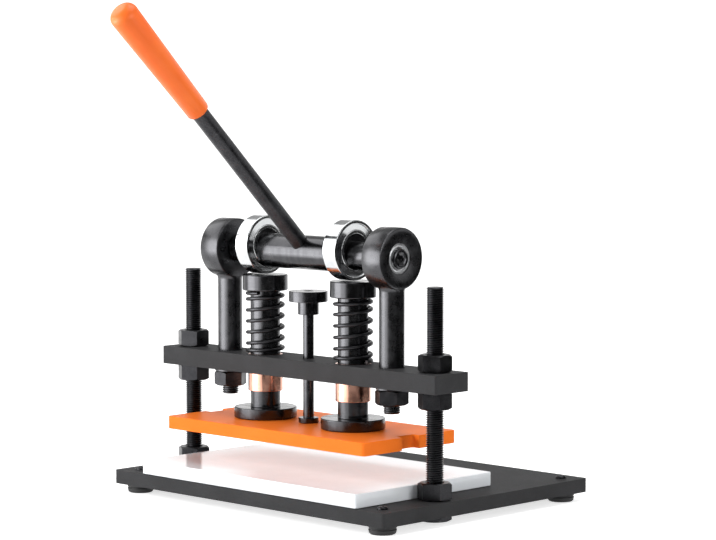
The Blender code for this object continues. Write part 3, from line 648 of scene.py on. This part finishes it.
def make_feet():
    """Rubber feet, waisted under their top flange, and button head screws with a hexagon socket."""
    radius = radius_of("foot_front_left")
    waist = radius - 0.7 * MM
    height = high("foot_front_left").z
    hollow = 0.5 * MM
    foot = lathe(
        "foot_pattern",
        [
            (0, height),
            (radius, height),
            (radius, height - 2.2 * MM),
            (waist, height - 2.6 * MM),
            (waist, height - 3.4 * MM),
            (radius, height - 3.8 * MM),
            (radius - 0.6 * MM, 1.2 * MM),
            (radius - 1.8 * MM, 0),
            (radius - 4 * MM, 0),
            (radius - 4.6 * MM, hollow),
            (0, hollow),
        ],
        edge=0.25 * MM,
    )
    radius = radius_of("foot_screw_front_left")
    top = high("foot_screw_front_left").z
    bottom = high("base_plate").z + 0.1 * MM
    head = lathe(
        "screw_pattern",
        [
            (0, top),
            (0.55 * radius, top),
            (0.8 * radius, top - 0.5 * MM),
            (0.95 * radius, top - 1.2 * MM),
            (radius, top - 2 * MM),
            (radius, bottom),
            (0, bottom),
        ],
        SMALL_STEPS,
        edge=0.15 * MM,
    )
    cut(head, hexagon("key_socket", 3 * MM, top - 1.6 * MM, top + MM))
    smooth(head)
    for row in ("front", "rear"):
        for side in SIDES:
            corner = f"{row}_{side}"
            spot = middle(f"foot_{corner}")
            place = (spot.x, spot.y, 0)
            dress(copy_to(foot, f"rubber_foot_{corner}", place), f"foot_{corner}", foot_rubber)
            turned = copy_to(head, f"button_screw_{corner}", place)
            dress(turned, f"foot_screw_{corner}", nut_black)
    discard(foot, head)


def make_columns():
    """Threaded columns and their nuts, of which the one under the base is thin."""
    radius = radius_of("column_left")
    bottom = low("column_left").z
    column = threaded_rod("column_pattern", radius, bottom, high("column_left").z)
    flats = high("base_nut_left").x - low("base_nut_left").x
    bore = radius + 0.1 * MM
    tall = high("base_nut_left").z - low("base_nut_left").z
    thin = high("under_nut_left").z - low("under_nut_left").z
    tall_nut = hex_nut("nut_pattern", flats, tall, bore)
    thin_nut = hex_nut("thin_nut_pattern", flats, thin, bore)
    for name in SIDES:
        x = middle(f"column_{name}").x
        piece = copy_to(column, f"threaded_column_{name}", (x, column_y, 0))
        dress(piece, f"column_{name}", thread_black)
        for level in ("base", "upper", "lower", "under"):
            node = f"{level}_nut_{name}"
            pattern = thin_nut if level == "under" else tall_nut
            nut = copy_to(pattern, f"hexagon_{node}", (x, column_y, low(node).z))
            dress(nut, node, nut_black)
    discard(column, tall_nut, thin_nut)


def make_board():
    board = slab("white_cutting_board", "cutting_board", corner=2 * MM, edge=0.7 * MM)
    dress(board, "cutting_board", board_plastic)


def make_crossbar():
    """Flat bar drilled for the columns, the eye bolts, the bushings and the centre rod."""
    above = crossbar_top + MM
    below = crossbar_bottom - MM
    drill = rod("rod_hole", ROD_RADIUS + 0.5 * MM, below, above, SMALL_STEPS)
    holes = [settle(drill, (0, column_y, 0))]
    for node, radius in (
        ("bushing", radius_of("bushing_right") + 0.15 * MM),
        ("eye_washer", M16_HOLE),
        ("column", M16_HOLE),
    ):
        drill = rod("bar_drill", radius, below, above, SMALL_STEPS)
        for name in SIDES:
            holes.append(copy_to(drill, "bar_hole", (middle(f"{node}_{name}").x, column_y, 0)))
        discard(drill)
    bar = slab("coated_crossbar", "crossbar", corner=1.5 * MM, edge=0.8 * MM, tools=holes)
    dress(bar, "crossbar", base_coat)


def make_eye_bolts():
    """Eyes with a dished face and a bearing seat, on a shank that ends in a cut stud under the bar.

    Each is made once, as the right one, and the left one is the same piece turned half round."""
    radius = radius_about_x("eye_bolt_right")
    half = EYE_HALF
    centre = high("eye_bolt_right").x - half
    seat_radius = radius_about_x("eye_outer_ring_right") + 0.1 * MM
    seat = low("eye_outer_ring_right").x - centre - 0.1 * MM
    step_radius = seat_radius - 1.9 * MM
    dish = 2 * MM
    eye = lathe(
        "eye_pattern",
        [
            (seat_radius, half - dish),
            (21.5 * MM, half),
            (radius - 1.6 * MM, half),
            (radius - 0.5 * MM, half - 0.5 * MM),
            (radius, half - 1.6 * MM),
            (radius, -half + 1.6 * MM),
            (radius - 0.5 * MM, -half + 0.5 * MM),
            (radius - 1.6 * MM, -half),
            (step_radius, -half),
            (step_radius, seat),
            (seat_radius, seat),
            (seat_radius, half - dish),
        ],
    )
    settle(eye, (0, 0, shaft_z), along_x())
    # The shank runs into the eye in an arc that touches both, and is no thicker there than the eye
    shank_radius = 11.5 * MM
    fillet = 8 * MM
    arc_y = shank_radius + fillet
    arc_z = -((radius + fillet) ** 2 - arc_y**2) ** 0.5
    end = atan2(-arc_z, -arc_y)
    angles = [end + (pi - end) * i / 10 for i in range(11)]
    arc = [(arc_y + fillet * cos(a), shaft_z + arc_z + fillet * sin(a)) for a in angles]
    top = shaft_z - 21 * MM
    foot = crossbar_top + 0.1 * MM
    outline = [(0, top), (arc[0][0], top), *arc, (shank_radius, foot), (0, foot)]
    size = (2 * half - 0.3 * MM, 60 * MM, 160 * MM)
    shank = lathe("eye_shank", outline)
    cut(shank, block("shank_trim", size, (0, 0, shaft_z - 60 * MM)), operation="INTERSECT")
    neck = rod("eye_neck", 7 * MM, crossbar_bottom + 3 * MM, shaft_z - 30 * MM, SMALL_STEPS)
    cut(eye, shank, neck, operation="UNION")
    round_edges(eye, 0.5 * MM, 3, 28)
    # The union mixes up the turning map, so it is laid out again about the shaft's axis
    settle(eye, (0, 0, -shaft_z))
    write_turning_map(eye, about_x=True)
    settle(eye, (0, 0, shaft_z))
    stud_radius = 8 * MM
    bottom = low("eye_bolt_right").z
    stud = threaded_rod("eye_stud", stud_radius, bottom, crossbar_bottom + 4 * MM)
    write_turning_map(stud)
    join(eye, stud)

    bore = stud_radius + 0.4 * MM
    outer = radius_of("eye_washer_right")
    bottom = low("eye_washer_right").z
    top = high("eye_washer_right").z
    washer = ring("washer_pattern", bore, outer, bottom, top, edge=0.3 * MM)
    nut_z = low("eye_nut_right").z
    bore = stud_radius + 0.1 * MM
    nut = hex_nut("eye_nut_pattern", 27 * MM, high("eye_nut_right").z - nut_z, bore)
    for name, side in SIDES.items():
        # The nuts were not stopped at the same angle
        eye_turn, nut_turn = (0, 0) if side > 0 else (pi, pi / HEX)
        for node, pattern, piece_name, z, turn, metal in (
            ("eye_bolt", eye, "turned_eye_bolt", 0, eye_turn, eye_black),
            ("eye_washer", washer, "turned_washer", 0, 0, turned_black),
            ("eye_nut", nut, "hexagon_eye_nut", nut_z, nut_turn, nut_black),
        ):
            place = (side * centre, column_y, z)
            piece = copy_to(pattern, f"{piece_name}_{name}", place, (0, 0, turn))
            dress(piece, f"{node}_{name}", metal)
    discard(eye, washer, nut)


def bearing_ring(name, inner, outer, half, track, track_inside, edge):
    """A race whose ball track is ground into its inside or outside as a shallow arc."""
    groove = [(track * sin(pi * i / 8), half * (0.55 - 1.1 * i / 8)) for i in range(9)]
    points = [(inner, half), (outer, half)]
    if track_inside:
        points += [(outer, -half), (inner, -half)]
        points += [(inner + depth, z) for depth, z in reversed(groove)]
    else:
        points += [(outer - depth, z) for depth, z in groove]
        points += [(outer, -half), (inner, -half)]
    return lathe(name, points + [(inner, half)], edge=edge)


def ball_set(balls, pitch, ball_radius, cage_half, cage_wall):
    """The balls of a bearing, spaced by a pressed steel cage that bulges round each ball."""
    inner = pitch - cage_wall
    cage = ring("balls_pattern", inner, pitch + cage_wall, -cage_half, cage_half, edge=0.1 * MM)
    deselect()
    bpy.ops.mesh.primitive_uv_sphere_add(
        segments=32, ring_count=16, radius=ball_radius, location=(pitch, 0, 0)
    )
    bpy.ops.object.shade_smooth()
    ball = take("ball_pattern")
    deselect()
    bpy.ops.mesh.primitive_cylinder_add(
        vertices=32,
        radius=ball_radius * 1.12,
        depth=cage_wall * 3.2,
        location=(pitch, 0, 0),
        rotation=(0, pi / 2, 0),
    )
    collar = smooth(take("collar_pattern"))
    parts = []
    for i in range(balls):
        turn = (0, 0, 2 * pi * i / balls)
        parts += [copy_to(ball, "ball", turn=turn), copy_to(collar, "collar", turn=turn)]
    discard(ball, collar)
    join(cage, *parts)
    write_turning_map(cage)
    return cage


def make_eye_bearings():
    """Ball bearings in the eyes: a pressed, bulging steel shield hides their balls from outside."""
    outer = radius_about_x("eye_outer_ring_right")
    inner = 7.5 * MM
    half = (high("eye_outer_ring_right").x - low("eye_outer_ring_right").x) / 2
    wall = 1.82 * MM
    pitch = (inner + outer) / 2
    lip = inner + wall + 0.25 * MM
    rim = outer - wall + 0.1 * MM
    track = 0.5 * MM
    race = bearing_ring("race_pattern", outer - wall, outer, half, track, True, edge=0.25 * MM)
    shield = lathe(
        "shield",
        [
            (lip, half - 0.9 * MM),
            (lip, half - 0.5 * MM),
            (lip + 0.5 * MM, half - 0.2 * MM),
            (pitch, half - 0.05 * MM),
            (rim - 0.5 * MM, half - 0.25 * MM),
            (rim, half - 0.6 * MM),
            (rim, half - 0.9 * MM),
            (lip, half - 0.9 * MM),
        ],
        edge=0.08 * MM,
    )
    join(race, shield)
    bore = inner + 0.1 * MM
    core = bearing_ring("core_pattern", bore, inner + wall, half, track, False, edge=0.2 * MM)
    balls = ball_set(7, pitch, ball_radius=1.75 * MM, cage_half=1.3 * MM, cage_wall=0.3 * MM)
    place_bearings("eye", race, core, balls, shield_steel)


def place_bearings(kind, race, core, balls, race_steel):
    """Copies a bearing's three patterns to both sides, their outer faces turned outwards."""
    for name, side in SIDES.items():
        place = middle(f"{kind}_outer_ring_{name}")
        turn = along_x(side)
        for part, pattern, steel in (
            ("outer_ring", race, race_steel),
            ("inner_ring", core, bearing_steel),
            ("ball_cage", balls, cage_steel),
        ):
            piece = copy_to(pattern, f"ground_{kind}_{part}_{name}", place, turn)
            dress(piece, f"{kind}_{part}_{name}", steel)
    discard(race, core, balls)


def make_roller_bearings():
    """Shielded bearings on the eccentric journals. Their outer rings roll on the piston caps.

    The shields lean outwards, so their tops catch the ceiling and their sides stay dark."""
    outer = radius_about_x("roller_outer_ring_right")
    inner = 15.15 * MM
    half = (high("roller_outer_ring_right").x - low("roller_outer_ring_right").x) / 2
    wall = 3.4 * MM
    pitch = (inner + outer) / 2
    lip = inner + wall + 0.25 * MM
    rim = outer - wall + 0.1 * MM
    near = half - 0.4 * MM
    far = near - (rim - lip) * tan(radians(9))
    sheet = 0.5 * MM
    track = 0.9 * MM
    race = bearing_ring("race_pattern", outer - wall, outer, half, track, True, edge=0.8 * MM)
    outline = [(lip, near), (rim, far), (rim, far - sheet), (lip, near - sheet), (lip, near)]
    shield = lathe("shield", outline, edge=0.12 * MM)
    join(race, shield, copy_to(shield, "inner_shield", turn=(pi, 0, 0)))
    core = bearing_ring("core_pattern", inner, inner + wall, half, track, False, edge=0.6 * MM)
    balls = ball_set(9, pitch, ball_radius=3.3 * MM, cage_half=2.6 * MM, cage_wall=0.45 * MM)
    place_bearings("roller", race, core, balls, bearing_steel)


def make_camshaft():
    """Shaft with an eccentric journal in each roller, and a socket for the lever between them."""
    radius = 16 * MM
    neck = 9 * MM
    end_radius = 7.3 * MM
    relief = 0.3 * MM
    spans = []
    for name in SIDES:
        node = f"roller_outer_ring_{name}"
        spans.append(sorted((abs(low(node).x), abs(high(node).x))))
    (left_start, left_end), (right_start, right_end) = spans
    right_tip = high("camshaft").x
    left_tip = -low("camshaft").x
    shaft = lathe(
        "turned_camshaft",
        [
            (0, right_tip),
            (end_radius, right_tip),
            (end_radius, right_end),
            (neck, right_end),
            (neck, right_start),
            (radius, right_start - relief),
            (radius, -left_start + relief),
            (neck, -left_start),
            (neck, -left_end),
            (end_radius, -left_end),
            (end_radius, -left_tip),
            (0, -left_tip),
        ],
        edge=0.8 * MM,
        rings=3,
    )
    settle(shaft, (0, column_y, shaft_z), along_x())
    for side, (start, end) in zip(SIDES.values(), spans):
        journal = rod("journal", 15 * MM, start - MM, end)
        cut(shaft, settle(journal, (0, column_y, roller_z), along_x(side)), operation="UNION")
    socket = rod("lever_socket", BAR_RADIUS + 0.2 * MM, 3.5 * MM, 30 * MM)
    cut(shaft, settle(socket, lever_foot, lever_turn))
    smooth(shaft)
    settle(shaft, (0, -column_y, -shaft_z))
    write_turning_map(shaft, about_x=True)
    settle(shaft, (0, column_y, shaft_z))
    dress(shaft, "camshaft", turned_black)


def make_spacers():
    """Stepped sleeves between the rollers and the eyes, the left one shorter than the right one."""
    bore = 7.4 * MM
    nose = 9.3 * MM
    body = 13 * MM
    for name, side in SIDES.items():
        node = f"shaft_spacer_{name}"
        inner_end, outer_end = sorted((abs(low(node).x), abs(high(node).x)))
        shoulder = abs(middle(f"eye_washer_{name}").x) - EYE_HALF - MM
        spacer = lathe(
            f"turned_spacer_{name}",
            [
                (bore, outer_end),
                (nose, outer_end),
                (nose, shoulder),
                (body, shoulder),
                (body, inner_end),
                (bore, inner_end),
                (bore, outer_end),
            ],
            edge=0.5 * MM,
        )
        dress(settle(spacer, (0, column_y, shaft_z), along_x(side)), node, turned_black)


def make_end_screws():
    """Button head screws with a hexagon socket, which hold the bearings on the shaft's ends."""
    end = high("shaft_end_screw_right").x
    start = high("eye_outer_ring_right").x + 0.1 * MM
    radius = radius_about_x("shaft_end_screw_right")
    stem = 3 * MM
    screw = lathe(
        "end_screw_pattern",
        [
            (0, end),
            (radius - 1.7 * MM, end),
            (radius - 0.5 * MM, end - 0.5 * MM),
            (radius, end - 1.7 * MM),
            (radius, start),
            (stem, start),
            (stem, start - 8 * MM),
            (0, start - 8 * MM),
        ],
        edge=0.2 * MM,
    )
    cut(screw, hexagon("key_socket", 6 * MM, end - 1.9 * MM, end + MM))
    smooth(screw)
    write_turning_map(screw)
    for name, side in SIDES.items():
        place = (0, column_y, shaft_z)
        piece = copy_to(screw, f"socket_screw_{name}", place, along_x(side))
        dress(piece, f"shaft_end_screw_{name}", turned_black)
    discard(screw)


def make_lever():
    """Round bar with a push-on grip that swells towards a domed end."""
    start = 4 * MM
    end = 305 * MM
    outline = [(0, end), (BAR_RADIUS, end), (BAR_RADIUS, start), (0, start)]
    bar = lathe("lever_bar", outline, edge=MM)
    dress(settle(bar, lever_foot, lever_turn), "lever_rod", lever_black)
    bore = BAR_RADIUS + 0.1 * MM
    grip_start = 187 * MM
    grip_end = 314 * MM
    start_radius = 10.4 * MM
    end_radius = 13 * MM
    dome = 8.5 * MM
    angles = [pi / 2 * i / 10 for i in range(11)]
    round_end = [
        (end_radius - dome + dome * sin(a), grip_end - dome + dome * cos(a)) for a in angles
    ]
    grip = lathe(
        "moulded_grip",
        [
            (0, grip_end),
            *round_end,
            (start_radius, grip_start + 2.2 * MM),
            (start_radius - 0.6 * MM, grip_start + 0.7 * MM),
            (start_radius - 2.1 * MM, grip_start),
            (bore, grip_start),
            (bore, end + MM),
            (0, end + MM),
        ],
        edge=0.3 * MM,
    )
    dress(settle(grip, lever_foot, lever_turn), "lever_grip", grip_plastic)


def make_pistons():
    """Pistons on broad flanges, the caps that the rollers press on, their screws and bushings."""
    radius = 14 * MM
    bore = 14.2 * MM
    top = high("piston_right").z
    seat = low("piston_right").z
    flange = seat + 10 * MM
    foot = radius_of("piston_right")
    outline = [(0, top), (radius, top), (radius, flange), (foot, flange), (foot, seat), (0, seat)]
    piston = lathe("piston_pattern", outline, edge=0.9 * MM, rings=3)
    top = high("piston_cap_right").z
    bottom = low("piston_cap_right").z
    roof = top - 5 * MM
    outer = radius_of("piston_cap_right")
    outline = [(0, top), (outer, top), (outer, bottom), (bore, bottom), (bore, roof), (0, roof)]
    cap = lathe("cap_pattern", outline, edge=1.1 * MM, rings=3)
    top = high("bushing_right").z
    bottom = low("bushing_right").z
    outer = radius_of("bushing_right")
    bushing = ring("bushing_pattern", bore, outer, bottom, top, edge=0.5 * MM)
    top = high("piston_screw_right").z
    bottom = low("piston_screw_right").z
    stem = 4 * MM
    outline = [(0, top), (stem, top), (stem, bottom + 3.8 * MM), (7.8 * MM, bottom), (0, bottom)]
    screw = lathe("countersunk_pattern", outline, SMALL_STEPS, edge=0.15 * MM)
    cut(screw, hexagon("key_socket", 5 * MM, bottom - MM, bottom + 2.5 * MM))
    smooth(screw)
    write_turning_map(screw)
    for name in SIDES:
        for node, pattern, metal in (
            (f"piston_{name}", piston, turned_black),
            (f"piston_cap_{name}", cap, turned_black),
            (f"bushing_{name}", bushing, bushing_bronze),
            (f"piston_screw_{name}", screw, turned_black),
        ):
            piece = copy_to(pattern, f"turned_{node}", (middle(node).x, column_y, 0))
            dress(piece, node, metal)
    discard(piston, cap, bushing, screw)


def make_springs():
    """Return springs: wire wound in one helix, with a closed turn at both ends."""
    wire = 3.5 * MM
    coil = radius_of("return_spring_left") - wire / 2
    closed_pitch = 4.6 * MM
    closed = 1
    active = 4.5
    per_turn = 28
    seat = crossbar_top + 0.3 * MM
    bottom = seat + wire / 2
    top = low("piston_cap_left").z - 0.3 * MM - wire / 2
    open_rise = top - bottom - 2 * closed_pitch * closed
    turns = active + 2 * closed
    count = round(turns * per_turn)
    path = []
    for i in range(count + 1):
        turn = turns * i / count
        opened = min(max(turn - closed, 0), active)
        height = bottom + closed_pitch * (min(turn, closed) + max(turn - turns + closed, 0))
        height += open_rise * opened / active
        angle = 2 * pi * turn
        path.append((coil * cos(angle), coil * sin(angle), height))
    curve = bpy.data.curves.new("spring_pattern", "CURVE")
    curve.dimensions = "3D"
    curve.bevel_depth = wire / 2
    curve.bevel_resolution = 4
    curve.use_fill_caps = True
    spline = curve.splines.new("POLY")
    spline.points.add(len(path) - 1)
    for point, place in zip(spline.points, path):
        point.co = (*place, 1)
    pattern = bpy.data.objects.new("spring_pattern", curve)
    bpy.context.scene.collection.objects.link(pattern)
    pick(pattern)
    bpy.ops.object.convert(target="MESH")
    bpy.ops.object.mode_set(mode="EDIT")
    close_up()
    smooth(pattern, 40)
    # The wires' ends point different ways
    for name, end_turn in (("left", 112), ("right", 0)):
        x = middle(f"piston_{name}").x
        turn = (0, 0, radians(end_turn))
        spring = copy_to(pattern, f"wound_spring_{name}", (x, column_y, 0), turn)
        dress(spring, f"return_spring_{name}", spring_black)
        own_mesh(spring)
    discard(pattern)


def make_plate():
    """Plate with a notch in each end, drilled for the rod and countersunk for the screws."""
    notch_x = high("pressing_plate").x + 2 * MM
    place = (notch_x, column_y, (plate_bottom + plate_top) / 2)
    notch = block("plate_notch", (20 * MM, 22 * MM, 20 * MM), place)
    round_edges(notch, 2 * MM, 6)
    tools = [notch, copy_to(notch, "left_notch", (-2 * notch_x, 0, 0))]
    above = plate_top + MM
    below = plate_bottom - MM
    stem = 4.3 * MM
    head = 7.8 * MM
    outline = [
        (0, above),
        (stem, above),
        (stem, plate_bottom + 0.5 * MM + head - 4 * MM),
        (head + 1.8 * MM, below),
        (0, below),
    ]
    sink = lathe("screw_drill", outline, SMALL_STEPS)
    for name in SIDES:
        tools.append(copy_to(sink, "screw_hole", (middle(f"piston_{name}").x, column_y, 0)))
    discard(sink)
    drill = rod("rod_drill", ROD_RADIUS + 0.1 * MM, below, above, SMALL_STEPS)
    tools.append(settle(drill, (0, column_y, 0)))
    plate = slab(
        "coated_pressing_plate", "pressing_plate", corner=4 * MM, edge=0.7 * MM, tools=tools
    )
    dress(plate, "pressing_plate", plate_coat)


def make_centre_rod():
    """Rod with a collar at its foot, and the stop knob on its threaded top."""
    top = high("centre_rod").z
    bottom = low("centre_rod").z
    radius = ROD_RADIUS
    collar = 9.3 * MM
    seat = plate_top + 0.1 * MM
    shoulder = seat + 5 * MM
    bar = lathe(
        "centre_bar",
        [
            (0, top),
            (radius, top),
            (radius, shoulder),
            (collar, shoulder),
            (collar, seat),
            (radius, seat),
            (radius, bottom),
            (0, bottom),
        ],
        edge=0.6 * MM,
        rings=3,
    )
    dress(settle(bar, (0, column_y, 0)), "centre_rod", turned_black)
    top = high("stop_knob").z
    bottom = low("stop_knob").z
    outer = radius_of("stop_knob")
    disc = top - 9.8 * MM
    neck = 9.7 * MM
    bore = radius + 0.2 * MM
    knob = lathe(
        "turned_stop_knob",
        [
            (0, top - 0.6 * MM),
            (4 * MM, top - 0.6 * MM),
            (4.6 * MM, top),
            (outer, top),
            (outer, disc),
            (neck, disc),
            (neck, bottom),
            (bore, bottom),
            (bore, top - 3 * MM),
            (0, top - 3 * MM),
        ],
        edge=MM,
        rings=3,
    )
    dress(settle(knob, (0, column_y, 0)), "stop_knob", turned_black)


# ---------------------------------------------------------------- floor, light and camera


def studio_white(name):
    """Matt white studio vinyl, made white by a light of its own that only camera and mirrors see.

    It is weak near the press, where the floor keeps its shadow, and grows to full white far off."""
    material, shader = new_material(name, "#e8e8e8", {"Roughness": 0.9, "Specular IOR Level": 0.0})
    shader.inputs["Emission Color"].default_value = linear("#ffffff")
    path = add_node(material, "ShaderNodeLightPath")
    shown = (path, "Is Camera Ray")
    for ray in ("Is Glossy Ray", "Is Transmission Ray"):
        either = add_node(
            material, "ShaderNodeMath", {"operation": "MAXIMUM"}, {0: shown, 1: (path, ray)}
        )
        shown = (either, "Value")
    place = add_node(material, "ShaderNodeTexCoord")
    away = add_node(
        material, "ShaderNodeVectorMath", {"operation": "LENGTH"}, {0: (place, "Object")}
    )
    lift = add_node(
        material,
        "ShaderNodeMapRange",
        inputs={
            "Value": (away, "Value"),
            "From Min": 0.45,
            "From Max": 1.6,
            "To Min": 0.7,
            "To Max": 1.0,
        },
    )
    add_node(
        material,
        "ShaderNodeMath",
        {"operation": "MULTIPLY"},
        {0: (lift, "Result"), 1: shown},
        feeds={"Value": (shader, "Emission Strength")},
    )
    return material


def make_floor():
    """Plain pale floor, which sweeps up into a low white wall all round, far from the press."""
    flat = 9
    bend = 2
    wall_top = 3.4
    angles = [pi / 16 * i for i in range(1, 9)]
    curve = [(flat + bend * sin(a), bend - bend * cos(a)) for a in angles]
    sweep = lathe("studio_sweep", [(0, 0), (flat, 0), *curve, (flat + bend, wall_top)])
    sweep.data.materials.append(studio_white("White studio vinyl"))


def make_screen():
    """Black cloth screen round the right of the set, seen only in mirrors: it keeps steel black."""
    distance = 0.6
    height = 0.3
    screen = draw_line("studio_screen", [(distance, 0), (distance, height)])
    bpy.ops.mesh.spin(steps=48, angle=radians(152), center=(0, 0, 0), axis=(0, 0, -1))
    close_up()
    settle(screen, turn=(0, 0, radians(-72)))
    cloth, _ = new_material("Black screen cloth", "#2c2c2c", {"Roughness": 0.9})
    screen.data.materials.append(cloth)
    screen.visible_camera = False
    screen.visible_diffuse = False
    screen.visible_transmission = False
    screen.visible_shadow = False


def make_world():
    """Even pale ceiling."""
    world = bpy.data.worlds.new("Studio ceiling")
    bpy.context.scene.world = world
    world.use_nodes = True
    background = world.node_tree.nodes["Background"]
    background.inputs["Color"].default_value = linear("#ffffff")
    background.inputs["Strength"].default_value = 0.45


def make_lamp(name, place, target, size, watts, paint=True, mirrors=True):
    """A soft box. Without paint only steel shows it, and without mirrors it lights paint only."""
    lamp = bpy.data.lights.new(name, "AREA")
    lamp.shape = "RECTANGLE"
    lamp.size = size[0]
    lamp.size_y = size[1]
    lamp.energy = watts
    obj = bpy.data.objects.new(name, lamp)
    bpy.context.scene.collection.objects.link(obj)
    obj.location = place
    obj.rotation_euler = (Vector(target) - Vector(place)).to_track_quat("-Z", "Y").to_euler()
    obj.visible_camera = False
    obj.visible_diffuse = paint
    obj.visible_glossy = mirrors


def make_lamps():
    """Key light from the front left, soft ones above and on the right, and strips for the steel."""
    make_lamp("Key softbox", (-1.0, -1.65, 0.7), (0, 0, 0.2), (0.8, 1.4), 40, mirrors=False)
    make_lamp("Top softbox", (0.2, 0.3, 1.9), (0, 0, 0.1), (1.4, 1.4), 17.5)
    make_lamp("Right softbox", (1.9, 0.1, 0.6), (0, 0, 0.2), (0.8, 1.2), 10.5)
    make_lamp("Near strip", (-0.335, -0.497, 0.25), (0, 0, 0.25), (0.44, 0.5), 2.3, paint=False)
    make_lamp("Wide strip", (-0.42, -0.91, 0.35), (0, 0, 0.35), (1.3, 0.68), 8.8, paint=False)
    make_lamp("Top strip", (-0.93, -0.31, 1.08), (0, 0, 0.23), (1.4, 0.7), 7, paint=False)


def make_camera():
    """Stands where the photograph was taken from, front right of the press."""
    camera = bpy.data.cameras.new("Photo camera")
    camera.lens = 126.71
    camera.sensor_width = 36
    camera.clip_end = 60
    obj = bpy.data.objects.new("Photo camera", camera)
    bpy.context.scene.collection.objects.link(obj)
    obj.location = (1.6553, -1.605157, 0.3930)
    obj.rotation_euler = (radians(90 - 4.343), 0, radians(44.393))
    bpy.context.scene.camera = obj


make_camera()
make_world()
make_floor()
make_screen()
make_lamps()

make_base()
make_feet()
make_columns()
make_board()
make_crossbar()
make_eye_bolts()
make_eye_bearings()
make_roller_bearings()
make_camshaft()
make_spacers()
make_end_screws()
make_lever()
make_pistons()
make_springs()
make_plate()
make_centre_rod()

scene = bpy.context.scene
scene.view_settings.view_transform = "Standard"
